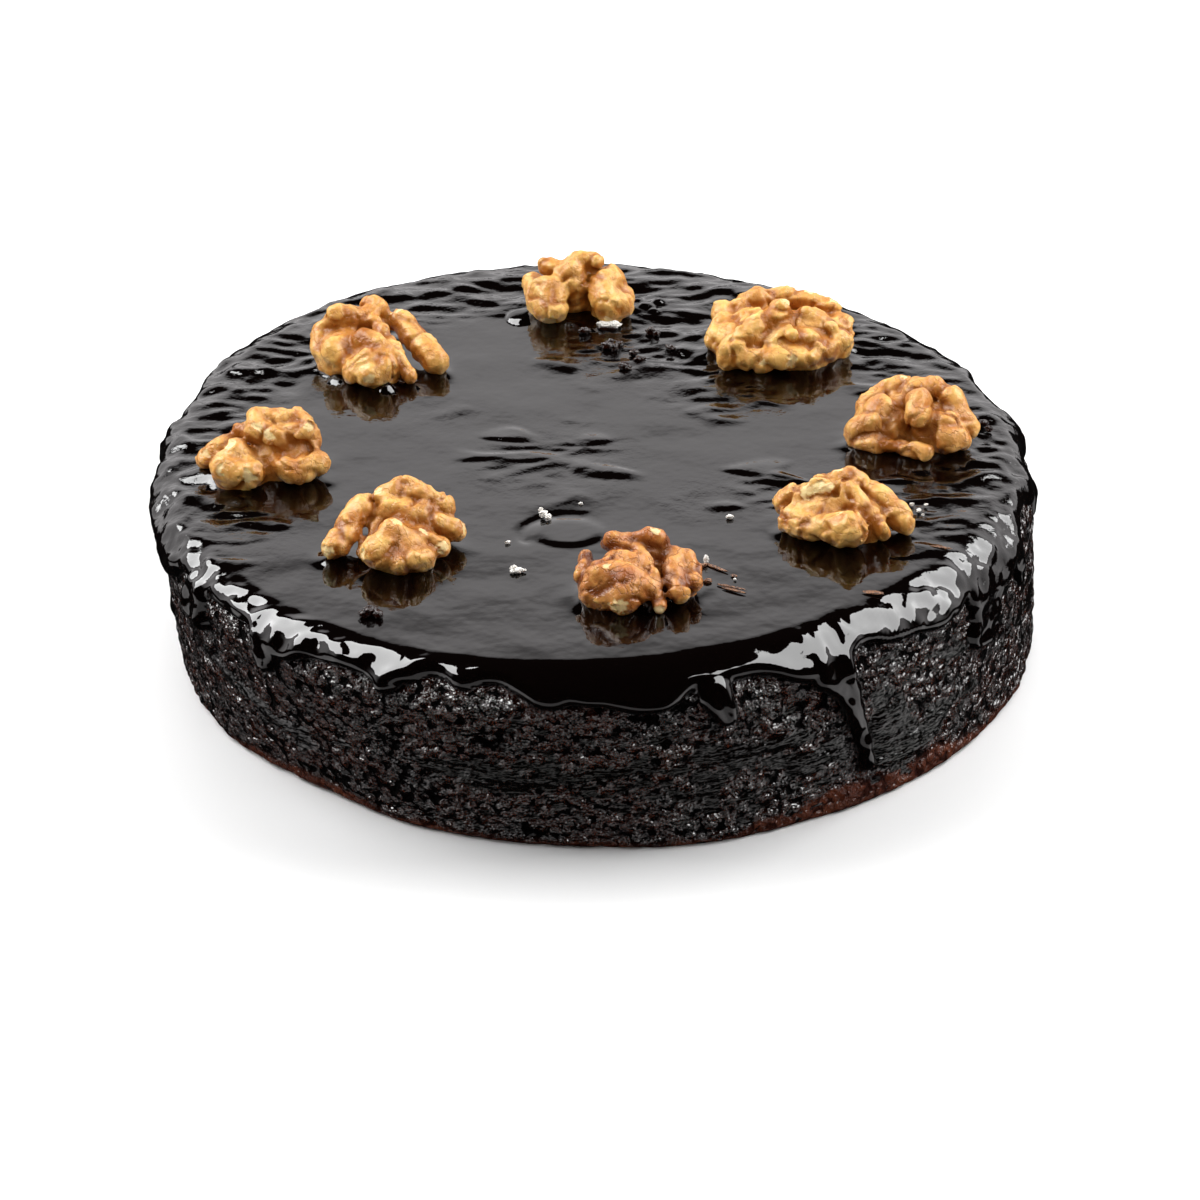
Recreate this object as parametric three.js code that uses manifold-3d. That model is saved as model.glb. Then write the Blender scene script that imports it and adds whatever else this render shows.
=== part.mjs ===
// A round chocolate cake under a poured chocolate coat, with eight walnut halves on top.
// Lengths are millimetres and angles are degrees. +Z is up, the cake stands on z = 0 and its
// front faces -Y. Azimuth 0 is +X and azimuth 90 is the back. Places are from the middle of the
// cake's foot, and at the end the whole cake moves so that the middle of its box is over 0, 0.

import * as THREE from 'three';
import { mergeVertices } from 'three/addons/utils/BufferGeometryUtils.js';
import Module from 'manifold-3d';

const wasm = await Module();
wasm.setup();
const { Manifold } = wasm;

// ---------------------------------------------------------------------------------------
// Driving dimensions
// ---------------------------------------------------------------------------------------

const FOOT_RADIUS = 110.8; // sponge where it stands
const RIM_RADIUS = 115; // sponge where its side meets the rounded shoulder
const RIM_OVAL = 3; // the risen rim is longer from front to back
const RIM_LOBES = 1.8; // slight three-sided unevenness of the rim
const RIM_SHIFT = -5.5; // the risen top leans to -X
const SPONGE_HEIGHT = 49.5;
const SHOULDER = 9; // rounding radius of the sponge's top edge
const FOOT_TUCK = 1.2; // how far the foot is drawn in
const FOOT_ROUND = 2.5; // height over which it is drawn in

const COAT = 2.5; // thickness of the chocolate coat
const GAP = 0.3; // clearance between neighbouring solids
const BOX_MIDDLE = [-3, -0.6]; // middle of the leaning cake's box, from its foot's
const COAT_EDGE = 46.2; // height of the coat's lower edge between the runs
const LIP = 1.4; // length of the rounded lip at that edge

// Dents and bulges of the sponge's foot: azimuth, amount outward, half width in degrees.
const FOOT_BUMPS = [
  [-131, -2.2, 11],
  [-79, 1.2, 9],
  [58, 1.2, 14],
  [148, -1.6, 13],
];

// Runs and drips of the coat: azimuth, how far they hang below COAT_EDGE, half width in
// degrees. A negative drop draws the edge up.
const RUNS = [
  [-144.3, 9.8, 2.3],
  [-129.1, 6.3, 3.1],
  [-113.9, 2, 2],
  [-108, -3.5, 2.8],
  [-100, -3.2, 4.3],
  [-93, 2, 3],
  [-82, 3.9, 6.5],
  [-74.1, 8.7, 2.4],
  [-69.4, -3.8, 1.3],
  [-58.3, 6.9, 6.7],
  [-56.1, 27, 1.8],
  [-47.5, 2, 2.8],
  [-41.4, 16, 3.6],
  [-34.4, 17, 3.7],
  [-22.8, 7.8, 9.5],
  [-6, 4, 3.5],
  [9, 7, 3.2],
  [19, -2, 4],
  [33, 4, 6],
  [42, 14, 2.6],
  [60, 3, 5],
  [71, 8.5, 2.4],
  [88, -2, 5],
  [105, 20, 2.2],
  [112, 6, 6],
  [131, -2.5, 5],
  [142, 9.5, 3],
  [161, -2, 6],
  [172, 6, 2.8],
];

// Walnut halves: where each sits on the coat, its colour, its bodies and its lobes, from the
// half's own centre on top of the coat. A body is an egg shape: its centre, then its radii.
// A lobe is a radius, then the points it runs through.
const LOBE_BLEND = 0.7; // how softly neighbouring lobes flow together
const WALNUT_BOX = [[-23, -19, 0], [23, 22, 20]]; // room for any half, low and high corner
const TAN = 0xcf9247;
const RED_TAN = 0xb9713c;
const WALNUTS = [
  {
    at: [-7.9, 77.6],
    colour: TAN,
    bodies: [
      [-7.5, 3, 1.5, 5.2, 6.6, 7.2],
      [9.3, 2.5, 1.5, 5.2, 6.2, 7],
      [0, 7.2, 3, 7.5, 5.6, 9.6],
    ],
    lobes: [
      [4.7, [-7, 1, 7.2], [-6.6, -3, 4.3]],
      [3.2, [-9.5, 1, 5], [-11.5, 10.5, 5]],
      [2.8, [-7.5, 8, 11.8], [-3.5, 6, 10]],
      [3.3, [-0.5, 4, 11.5], [0.3, 2.8, 7.5], [0.5, 3.5, 3]],
      [2.6, [-0.5, 6, 11.5], [0.8, 7.5, 13.4], [5.5, 7, 13.4]],
      [4.7, [8, 2, 7.8], [9.2, -3, 4.6]],
      [3, [9.5, 7, 9], [13, 4, 5], [13, -2.5, 4]],
    ],
  },
  {
    at: [46.2, 51.6],
    colour: TAN,
    bodies: [
      [-7.5, 3, 1.5, 10.5, 10, 9.8],
      [7.5, 2.5, 1.5, 11.5, 9.5, 9.8],
      [0, 3, 3, 10, 8.5, 9.6],
      [0, -4, 2, 14, 6, 8],
    ],
    lobes: [
      [2.7, [-14.5, 11, 9], [-14.5, 6, 7], [-17, 2, 4]],
      [3.2, [-10, 11, 9], [-5, 12, 11.3]],
      [3.2, [1, 1.5, 13.3], [-4, -2, 11], [-13, -7, 5.8]],
      [2.6, [-0.5, 13, 11.5], [6.5, 13.5, 11], [14.5, 9.5, 9.3]],
      [2.8, [13.5, 4, 7], [17.3, 4.5, 7.2], [17.3, 0.5, 4.5]],
      [3.4, [7.5, 3, 10], [12.5, 0.5, 8]],
      [3.1, [2.5, -5, 8.6], [8.5, -5.5, 7]],
      [3, [-13.5, -7.5, 3.4], [-4, -9.8, 4], [8, -8.5, 4], [13, -5, 4.6]],
    ],
  },
  {
    at: [77.7, 2.8],
    colour: TAN,
    bodies: [
      [-5.5, 1, 1.5, 9, 8.5, 8.6],
      [7, -0.5, 1.5, 8.5, 8.5, 8.6],
      [1.5, 4, 3, 9.5, 5.5, 8.8],
    ],
    lobes: [
      [3.8, [-7.3, 0, 8.3], [-9.3, -3, 6], [-13, -3, 3.8]],
      [2.2, [-13, -5.5, 2.2], [-7.5, -8.8, 2.6], [-1, -10.8, 2.6], [3.5, -12.8, 2.6]],
      [2.4, [-11, 6, 7], [-6.5, 8.5, 9.3], [-1.2, 8.8, 11]],
      [3.3, [2.4, -2, 11.8], [2, -6.3, 9.8]],
      [2.9, [1.5, 4, 12], [7, 4, 12.3], [11, 1.5, 11], [13, -1.5, 7.5], [15.5, -3, 4.5]],
      [3.9, [8.8, -6.3, 6.8], [9.4, -8.6, 5]],
      [3, [9.5, -10.3, 3.6], [12.3, -8.8, 3.8]],
    ],
  },
  {
    at: [58.6, -46],
    colour: TAN,
    bodies: [[-6, 0, 1.5, 8.8, 7.8, 8.6], [4, -1.5, 1.5, 6.8, 7.8, 8.6], [0, 1, 3, 7.5, 4.5, 9.2]],
    lobes: [
      [2.6, [-5, 3.5, 11.2], [1.5, 3.5, 12.8], [6.5, 2.5, 9.3]],
      [2.7, [-9.5, 1, 9.2], [-4.3, 0.6, 11]],
      [2.7, [-11.5, 5, 7.8], [-14.5, 4.5, 5]],
      [3.3, [-13.5, -2.5, 4], [-9.5, -6.5, 4], [-5, -8, 5]],
      [4.4, [1.5, -10.3, 5.4], [-1.5, -9, 4.5]],
      [2.2, [-0.5, 1, 11.2], [5, -4.6, 8.6], [9.2, -8.4, 3.6]],
      [3.1, [8.5, 1.2, 8], [12, -1.5, 6.4], [14.6, -3.8, 4]],
    ],
  },
  {
    at: [7.4, -75.8],
    colour: RED_TAN,
    bodies: [[-6.2, -3.8, 1.5, 8.2, 8, 8.2], [1.5, 3, 2, 7, 5, 8.8], [10, -1, 1.5, 4.6, 6.5, 6.2]],
    lobes: [
      [4.3, [-8, -6.5, 7], [-3.5, -9, 6.8], [-1, -9.5, 5.5]],
      [3.4, [-11, -8, 4], [-3.5, -12, 3.6]],
      [2.2, [-12.5, 1.5, 7.5], [-13.5, -3, 5], [-10.5, -5, 5.5]],
      [2.6, [-6.5, 3, 11.5], [-3.5, 3, 10.5]],
      [2.2, [-1.5, 4, 11], [2, 3.5, 12.8], [6, 4, 11.5]],
      [2.6, [-5.5, -2, 9.3], [-1.5, -3.4, 8.8]],
      [1.8, [0, 1, 10], [2.5, -3, 8.6], [4.9, -13, 2]],
      [2.8, [7.8, 2, 7.8], [8.7, -5, 6], [9.6, -9, 4.2]],
      [2.4, [11.7, 1.5, 7.3], [13.2, -1, 6], [13.2, -5, 4.5]],
    ],
  },
  {
    at: [-52.9, -57.2],
    colour: TAN,
    bodies: [[3, -3, 1.5, 8, 8.5, 7.8], [5, 5.7, 2.5, 9.2, 6.3, 9]],
    lobes: [
      [3.4, [-7.5, 7.5, 9], [-10.5, 2.5, 6.6], [-14, -2.5, 3.2]],
      [4.1, [0.5, -4.5, 7.8], [-3, -8.5, 4.8]],
      [3.3, [5, -4.5, 6.5], [3, -11, 4], [7.5, -8, 3.8]],
      [2.7, [-2, 9.5, 11], [3, 12, 12.8], [7, 9, 12], [13, 7.5, 9.3]],
      [2.6, [-0.5, 6.5, 9.8], [3, 4.6, 8.8], [9, 5, 9.3]],
      [2.8, [11, 3, 7], [15.3, 3.2, 5]],
      [2.3, [7.8, -1.5, 6.5], [12, -3.5, 4]],
      [1.6, [-7.5, 7.5, 7.3], [-2.5, 6, 7.8], [-7, -3, 2.4]],
    ],
  },
  {
    at: [-87.7, -9.3],
    colour: TAN,
    bodies: [[-5, -6, 1, 7.2, 8.2, 7.6], [6, -1.5, 1.5, 9.3, 8.2, 9.6]],
    lobes: [
      [2.5, [-2.5, 2.5, 8.6], [-6, 3.8, 8.2], [-14.3, -1.5, 2.8]],
      [3.5, [-6, -7, 7.4], [-8.5, -10.5, 5.4], [-1.5, -12.3, 4.6]],
      [2.9, [-0.5, -2, 11.3], [-0.5, 2.5, 12.8], [8.5, 1, 12.8]],
      [2.8, [-0.5, -2, 11.3], [6, -4, 10.3], [11.5, -3, 11.8]],
      [2.3, [9, 5.5, 11.8], [12.5, -0.5, 10.8], [13.5, -3, 8.3]],
      [3.2, [6.5, -10, 5], [9, -11, 4.2], [15, -7.5, 5]],
    ],
  },
  {
    at: [-59.7, 48],
    colour: TAN,
    bodies: [[-9, 1, 1.5, 8.2, 8.2, 8.8], [-1, -5.5, 1.5, 6.8, 8.6, 8.2]],
    lobes: [
      [3.6, [-11, 6, 12], [-8, 5.5, 12]],
      [2.8, [-2.5, 11.5, 12.8], [-0.5, 10, 12], [-6, 6, 11]],
      [2.2, [-13, 5, 9], [-15.5, 6, 8.3], [-16, 0.5, 5]],
      [3, [-10, -0.5, 7], [-12, -4, 7], [-9.8, -5.5, 4.5]],
      [3.4, [-4.2, -2.5, 9.8], [1, -7, 7.8], [2, -11, 5.8], [-1.5, -13.5, 4.2]],
      [3.3, [-2, -10, 6.8], [-6, -10.5, 3.6]],
      [1.8, [-4, 9, 11.3], [1, 0.5, 10.8], [8.3, -11, 2.6]],
      [3.4, [5.8, 8.5, 9.3], [10, 3, 7], [15, -4.5, 3.2]],
      [1.5, [-1, 6, 9], [3, 10, 8], [5.8, 8.5, 8.8]],
    ],
  },
];

// Facets
const SPONGE_COLUMNS = 80;
const SIDE_ROWS = 7;
const SHOULDER_ROWS = 4;
const COAT_STEP = 4.5; // widest column of the coat, degrees
const COAT_SHOULDER_ROWS = 4;
const TOP_RINGS = [0.4, 0.75]; // rings on the coat's flat top, shares of its radius
const WALNUT_CELL = 2.5; // grid cell of a walnut half's net

// ---------------------------------------------------------------------------------------
// Helpers
// ---------------------------------------------------------------------------------------

const rad = THREE.MathUtils.degToRad;

/** A bump 1 high with a rounded end, that dies away past the half width. */
function bump(azimuth, centre, halfWidth) {
  const turn = THREE.MathUtils.euclideanModulo(azimuth - centre + 180, 360) - 180;
  return Math.exp(-(Math.abs(turn / halfWidth) ** 3));
}

/** Sum of a table's bumps at an azimuth: each row is centre, amount, half width. */
function bumps(table, azimuth) {
  return table.reduce((sum, [at, amount, width]) => sum + amount * bump(azimuth, at, width), 0);
}

/** One closed body through equal rings of points, with a pole point at either end. */
function closedSkin(firstPole, rings, lastPole) {
  const columns = rings[0].length;
  const points = [firstPole, ...rings.flat(), lastPole];
  const last = points.length - 1;
  const index = [];
  for (let c = 0; c < columns; c += 1) {
    const next = (c + 1) % columns;
    index.push(0, 1 + next, 1 + c);
    for (let r = 0; r + 1 < rings.length; r += 1) {
      const low = 1 + r * columns;
      const high = low + columns;
      index.push(low + c, low + next, high + next);
      index.push(low + c, high + next, high + c);
    }
    const top = 1 + (rings.length - 1) * columns;
    index.push(top + c, top + next, last);
  }
  const geometry = new THREE.BufferGeometry();
  geometry.setAttribute('position', new THREE.Float32BufferAttribute(points.flat(), 3));
  geometry.setIndex(index);
  return geometry;
}

/**
 * Fills the slits in a grid of distances that are too thin for it: wherever just two opposite
 * corners of a square or a cell are alike, the nearest bare corner is moved inside.
 */
function fillSlits(values, stride, fill) {
  const [x, y, z] = stride;
  const corners = [0, x, y, x + y, z, z + x, z + y, z + x + y];
  const squares = [[0, x, y, x + y], [0, y, z, y + z], [0, z, x, z + x]];
  const cells = [0, 1, 2, 3].map((i) => {
    const pair = [corners[i], corners[7 - i]];
    return [pair, corners.filter((corner) => !pair.includes(corner))];
  });
  const crossings = [...squares.map(([a, b, c, d]) => [[a, d], [b, c]]), ...cells];
  const last = values.length - 1 - corners[7];
  let filled = true;
  while (filled) {
    filled = false;
    for (let n = 0; n <= last; n += 1) {
      for (const [pair, others] of crossings) {
        const state = values[n + pair[0]] < 0;
        const alone = others.every((step) => values[n + step] < 0 !== state);
        if (alone && values[n + pair[1]] < 0 === state) {
          const bare = state ? others : pair;
          const nearest = bare.reduce((a, b) => (values[n + a] < values[n + b] ? a : b));
          values[n + nearest] = -fill;
          filled = true;
        }
      }
    }
  }
}

/**
 * The closed surface where a distance is zero, as a net: one point in every grid cell that
 * the surface passes through, and one square across every grid edge that it crosses.
 */
function netGeometry(distance, low, high, cell) {
  const size = high.clone().sub(low).divideScalar(cell).ceil().toArray();
  const stride = [1, size[0], size[0] * size[1]];
  const count = size[0] * size[1] * size[2];
  const values = new Float64Array(count);
  const grid = (n) => [n % size[0], Math.floor(n / stride[1]) % size[1], Math.floor(n / stride[2])];
  const at = (n) => new THREE.Vector3(...grid(n)).multiplyScalar(cell).add(low);
  for (let n = 0; n < count; n += 1) {
    values[n] = distance(at(n));
  }
  fillSlits(values, stride, cell / 4);
  const inside = (n) => values[n] < 0;

  const points = [];
  const pointOfCell = new Map();
  const pointIn = (n) => {
    if (!pointOfCell.has(n)) {
      const middle = new THREE.Vector3();
      let crossings = 0;
      for (let corner = 0; corner < 8; corner += 1) {
        const from = n + stride.reduce((sum, step, axis) => sum + step * ((corner >> axis) & 1), 0);
        stride.forEach((step, axis) => {
          if (!((corner >> axis) & 1) && inside(from) !== inside(from + step)) {
            const share = values[from] / (values[from] - values[from + step]);
            middle.add(at(from).lerp(at(from + step), share));
            crossings += 1;
          }
        });
      }
      pointOfCell.set(n, points.length / 3);
      points.push(...middle.divideScalar(crossings).toArray());
    }
    return pointOfCell.get(n);
  };

  const index = [];
  for (let n = 0; n < count; n += 1) {
    stride.forEach((step, axis) => {
      const end = n + step;
      if (end < count && inside(n) !== inside(end)) {
        const u = stride[(axis + 1) % 3];
        const v = stride[(axis + 2) % 3];
        const [a, b, c, d] = [n - u - v, n - v, n, n - u].map(pointIn);
        index.push(...(inside(n) ? [a, b, c, a, c, d] : [a, c, b, a, d, c]));
      }
    });
  }
  const geometry = new THREE.BufferGeometry();
  geometry.setAttribute('position', new THREE.Float32BufferAttribute(points, 3));
  geometry.setIndex(index);
  return geometry;
}

/** An indexed three.js geometry as a manifold solid. */
function toSolid(geometry) {
  const vertProperties = new Float32Array(geometry.getAttribute('position').array);
  const triVerts = new Uint32Array(geometry.getIndex().array);
  return new Manifold(new wasm.Mesh({ numProp: 3, vertProperties, triVerts }));
}

/** A manifold solid as three.js geometry. */
function toGeometry(solid) {
  const { numProp, vertProperties, triVerts } = solid.getMesh();
  const geometry = new THREE.BufferGeometry();
  const positions = new Float32Array((vertProperties.length / numProp) * 3);
  for (let i = 0; i < positions.length / 3; i += 1) {
    positions.set(vertProperties.subarray(i * numProp, i * numProp + 3), i * 3);
  }
  geometry.setAttribute('position', new THREE.BufferAttribute(positions, 3));
  geometry.setIndex(Array.from(triVerts));
  return mergeVertices(geometry, 1e-4);
}

/** A named mesh with its own material. */
function piece(name, geometry, color, roughness) {
  geometry.computeVertexNormals();
  const material = new THREE.MeshStandardMaterial({ color, roughness, metalness: 0 });
  const mesh = new THREE.Mesh(geometry, material);
  mesh.name = name;
  return mesh;
}

// ---------------------------------------------------------------------------------------
// The cake's outline, shared by the sponge and the coat
// ---------------------------------------------------------------------------------------

const RIM_HEIGHT = SPONGE_HEIGHT - SHOULDER;
const SHOULDER_ARC = (SHOULDER * Math.PI) / 2;

/** Radius of the sponge's side at an azimuth, for a share of the rim's height. */
function sideRadius(azimuth, share) {
  const a = rad(azimuth);
  const rim = RIM_RADIUS - RIM_OVAL * Math.cos(2 * a) + RIM_LOBES * Math.cos(3 * a);
  const foot = FOOT_RADIUS + bumps(FOOT_BUMPS, azimuth);
  return THREE.MathUtils.lerp(foot, rim, share);
}

/** A point at an azimuth, radius and height; the centre leans with the height. */
function place(azimuth, radius, z) {
  const a = rad(azimuth);
  const lean = (RIM_SHIFT * Math.min(z, SPONGE_HEIGHT)) / SPONGE_HEIGHT;
  return [lean + radius * Math.cos(a), radius * Math.sin(a), z];
}

/** Radius of the flat top, inside the shoulder. */
function flatRadius(azimuth) {
  return sideRadius(azimuth, 1) - SHOULDER;
}

/**
 * A point of the outline, a distance outside the sponge. Down is the length along the
 * sponge's surface from the flat top's edge: round the shoulder first, then down the side.
 */
function outline(azimuth, down, outside) {
  if (down <= SHOULDER_ARC) {
    const turn = down / SHOULDER;
    const reach = SHOULDER + outside;
    const radius = flatRadius(azimuth) + reach * Math.sin(turn);
    return place(azimuth, radius, RIM_HEIGHT + reach * Math.cos(turn));
  }
  const z = RIM_HEIGHT - (down - SHOULDER_ARC);
  return place(azimuth, sideRadius(azimuth, z / RIM_HEIGHT) + outside, z);
}

/** Length down the outline at which the coat's outer face has the given height. */
function downAt(z) {
  if (z >= RIM_HEIGHT) {
    return SHOULDER * Math.acos((z - RIM_HEIGHT) / (SHOULDER + GAP + COAT));
  }
  return SHOULDER_ARC + RIM_HEIGHT - z;
}

// ---------------------------------------------------------------------------------------
// Sponge
// ---------------------------------------------------------------------------------------

/** The cake, solid all through and a distance larger: a drawn-in foot, a rounded shoulder. */
function spongeSkin(outside) {
  const azimuths = Array.from({ length: SPONGE_COLUMNS }, (_, c) => (360 * c) / SPONGE_COLUMNS);
  const side = RIM_HEIGHT - FOOT_ROUND;
  const rings = [azimuths.map((a) => place(a, sideRadius(a, 0) - FOOT_TUCK + outside, 0))];
  for (let r = 0; r <= SIDE_ROWS; r += 1) {
    const down = SHOULDER_ARC + side * (1 - r / SIDE_ROWS);
    rings.push(azimuths.map((a) => outline(a, down, outside)));
  }
  for (let r = SHOULDER_ROWS - 1; r >= 0; r -= 1) {
    rings.push(azimuths.map((a) => outline(a, (SHOULDER_ARC * r) / SHOULDER_ROWS, outside)));
  }
  return closedSkin([0, 0, 0], rings, [RIM_SHIFT, 0, SPONGE_HEIGHT + outside]);
}

// ---------------------------------------------------------------------------------------
// Chocolate coat
// ---------------------------------------------------------------------------------------

/** Azimuths of the coat's columns: an even round, closer together on each run. */
function coatAzimuths() {
  const onRuns = RUNS.flatMap(([at, , w]) => [-1.6, -0.8, 0, 0.8, 1.6].map((k) => at + k * w));
  const wrapped = onRuns.map((a) => THREE.MathUtils.euclideanModulo(a, 360));
  const kept = [];
  wrapped.sort((a, b) => a - b);
  for (const a of wrapped) {
    if (kept.length === 0 || a - kept[kept.length - 1] > COAT_STEP / 3) {
      kept.push(a);
    }
  }
  const filled = [];
  kept.forEach((a, i) => {
    const next = i + 1 < kept.length ? kept[i + 1] : kept[0] + 360;
    const parts = Math.ceil((next - a) / COAT_STEP);
    for (let k = 0; k < parts; k += 1) {
      filled.push(a + ((next - a) * k) / parts);
    }
  });
  return filled;
}

/** Lengths down the outline of the coat's rows, from the flat top's edge to its lip. */
function coatRows(end) {
  const full = end - LIP;
  const split = Math.min(SHOULDER_ARC, 0.8 * full);
  const rows = [];
  for (let r = 0; r <= COAT_SHOULDER_ROWS; r += 1) {
    rows.push((split * r) / COAT_SHOULDER_ROWS);
  }
  rows.push(full, end - LIP * 0.25, end);
  return rows;
}

/** The poured coat: over the top and shoulder, down to an edge with runs and drips. */
function coatGeometry() {
  const azimuths = coatAzimuths();
  const rows = azimuths.map((a) => coatRows(downAt(COAT_EDGE - bumps(RUNS, a))));
  const ring = (r, outside) => azimuths.map((a, c) => outline(a, rows[c][r], outside));
  const flatRing = (share, z) => azimuths.map((a) => place(a, share * flatRadius(a), z));
  const full = COAT_SHOULDER_ROWS + 1;
  const outer = GAP + COAT;

  const rings = [];
  for (let r = 0; r <= full; r += 1) {
    rings.push(ring(r, -COAT));
  }
  rings.push(ring(full + 2, -COAT));
  rings.push(ring(full + 2, GAP + COAT * 0.4));
  rings.push(ring(full + 1, GAP + COAT * 0.85));
  for (let r = full; r >= 0; r -= 1) {
    rings.push(ring(r, outer));
  }
  const shares = [...TOP_RINGS].reverse();
  shares.forEach((share) => rings.push(flatRing(share, SPONGE_HEIGHT + outer)));
  const under = [RIM_SHIFT, 0, SPONGE_HEIGHT - COAT];
  const over = [RIM_SHIFT, 0, SPONGE_HEIGHT + outer];
  const poured = toSolid(closedSkin(under, rings, over));
  return toGeometry(poured.subtract(toSolid(spongeSkin(GAP))));
}

// ---------------------------------------------------------------------------------------
// Walnut halves
// ---------------------------------------------------------------------------------------

/** Distance from a point to an egg-shaped body, exact near its surface. */
function bodyDistance(point, [x, y, z, ...radii]) {
  const scaled = point.clone().sub(new THREE.Vector3(x, y, z)).divide(new THREE.Vector3(...radii));
  const size = scaled.length();
  const slope = scaled.divide(new THREE.Vector3(...radii)).length();
  return (size * (size - 1)) / slope;
}

/** Distance from a point to a lobe: a ball swept along the lobe's points. */
function lobeDistance(point, [radius, ...corners]) {
  const path = corners.map((corner) => new THREE.Vector3(...corner));
  const nearest = new THREE.Vector3();
  let distance = Infinity;
  for (let i = 0; i + 1 < path.length; i += 1) {
    new THREE.Line3(path[i], path[i + 1]).closestPointToPoint(point, true, nearest);
    distance = Math.min(distance, point.distanceTo(nearest));
  }
  return distance - radius;
}

/** Distance from a point to a whole half, its bodies and lobes flowing into each other. */
function walnutDistance(point, bodies, lobes) {
  const distances = [
    ...bodies.map((body) => bodyDistance(point, body)),
    ...lobes.map((lobe) => lobeDistance(point, lobe)),
  ];
  const sum = distances.reduce((total, d) => total + Math.exp(-d / LOBE_BLEND), 0);
  return -LOBE_BLEND * Math.log(sum);
}

/** A walnut half: the net of its rounded surface, flat underneath. */
function walnutGeometry(bodies, lobes) {
  const [low, high] = WALNUT_BOX.map((corner) => new THREE.Vector3(...corner));
  low.z = GAP - WALNUT_CELL / 2;
  const clearance = (point) => Math.max(walnutDistance(point, bodies, lobes), GAP - point.z);
  return netGeometry(clearance, low, high, WALNUT_CELL);
}

// ---------------------------------------------------------------------------------------
// The whole cake
// ---------------------------------------------------------------------------------------

const cake = new THREE.Group();
cake.position.set(-BOX_MIDDLE[0], -BOX_MIDDLE[1], 0);
cake.add(piece('cake', spongeSkin(0), 0x2a1510, 0.6));
cake.add(piece('chocolate_coat', coatGeometry(), 0x120a08, 0.08));

WALNUTS.forEach(({ at, colour, bodies, lobes }, i) => {
  const half = piece(`walnut_half_${i + 1}`, walnutGeometry(bodies, lobes), colour, 0.45);
  half.position.set(at[0], at[1], SPONGE_HEIGHT + GAP + COAT);
  cake.add(half);
});

export default cake;
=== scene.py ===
"""A round chocolate cake under a poured glossy coat, ringed with glazed walnut halves.

Shapes are worked out in millimetres from the middle of the cake's foot, with azimuth 0 at +X
and 90 at the back, and are put into the frame, in metres, when their mesh is made.
"""

import bpy
import numpy as np
from mathutils import Matrix, Vector


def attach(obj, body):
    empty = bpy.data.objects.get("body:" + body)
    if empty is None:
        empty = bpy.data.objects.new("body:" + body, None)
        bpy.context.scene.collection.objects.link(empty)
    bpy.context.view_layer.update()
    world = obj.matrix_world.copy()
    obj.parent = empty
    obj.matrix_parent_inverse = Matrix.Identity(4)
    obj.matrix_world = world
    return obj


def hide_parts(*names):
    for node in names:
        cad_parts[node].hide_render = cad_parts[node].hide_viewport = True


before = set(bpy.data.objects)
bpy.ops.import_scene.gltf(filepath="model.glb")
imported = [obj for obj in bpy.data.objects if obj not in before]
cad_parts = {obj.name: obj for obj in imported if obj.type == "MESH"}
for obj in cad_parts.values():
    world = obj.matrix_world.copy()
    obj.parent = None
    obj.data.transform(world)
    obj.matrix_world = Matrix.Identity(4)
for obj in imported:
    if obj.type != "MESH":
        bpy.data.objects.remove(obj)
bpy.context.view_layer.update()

# --------------------------------------
# Sponge
# The cake itself: a dark chocolate sponge, baked in a round tin and soaked in syrup. Its side
# is bare crumb, lumpy and wet, with streaks where the syrup has filled the pores smooth, and
# a dry reddish band where it stands. It leans a little and has a dented foot.
# --------------------------------------

FOOT_MIDDLE = np.array([3.0, 0.6, 0.0])  # middle of the foot in the frame, in mm
FOOT_RADIUS = 110.8
RIM_RADIUS = 115.0
RIM_OVAL = 3.0  # how far the rim's radius falls short along X
RIM_LOBES = 1.8  # how far its three corners stand out
RIM_SHIFT = -5.5  # how far the top has moved along X
SPONGE_HEIGHT = 49.5
SHOULDER = 9.0  # radius of the rounded shoulder
FOOT_TUCK = 1.2  # how far the side turns in at the foot
FOOT_ROUND = 2.5  # height over which it does that
RIM_HEIGHT = SPONGE_HEIGHT - SHOULDER
SHOULDER_ARC = SHOULDER * np.pi / 2

# Dents and bulges of the foot: azimuth, amount outward, half width in degrees.
FOOT_BUMPS = [(-131, -2.2, 11), (-79, 1.2, 9), (58, 1.2, 14), (148, -1.6, 13)]


def turn_from(at, azimuth):
    """Degrees from one azimuth to others, -180 to 180."""
    return (azimuth - at + 180) % 360 - 180


def bumps(table, azimuth):
    """Sum of round-ended bumps: amount times exp(-|turn / half width| cubed)."""
    total = np.zeros_like(azimuth, dtype=float)
    for at, amount, width in table:
        total += amount * np.exp(-np.abs(turn_from(at, azimuth) / width) ** 3)
    return total


def side_radius(azimuth, share):
    """Foot radius blended to rim radius, by the share of the rim's height."""
    a = np.radians(azimuth)
    rim = RIM_RADIUS - RIM_OVAL * np.cos(2 * a) + RIM_LOBES * np.cos(3 * a)
    foot = FOOT_RADIUS + bumps(FOOT_BUMPS, azimuth)
    return foot + (rim - foot) * share


def place(azimuth, radius, z):
    """Points at an azimuth, radius and height, round a centre that leans with the height."""
    a = np.radians(azimuth)
    lean = RIM_SHIFT * np.minimum(z, SPONGE_HEIGHT) / SPONGE_HEIGHT
    return np.stack([lean + radius * np.cos(a), radius * np.sin(a), z + 0 * a], axis=-1)


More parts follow.
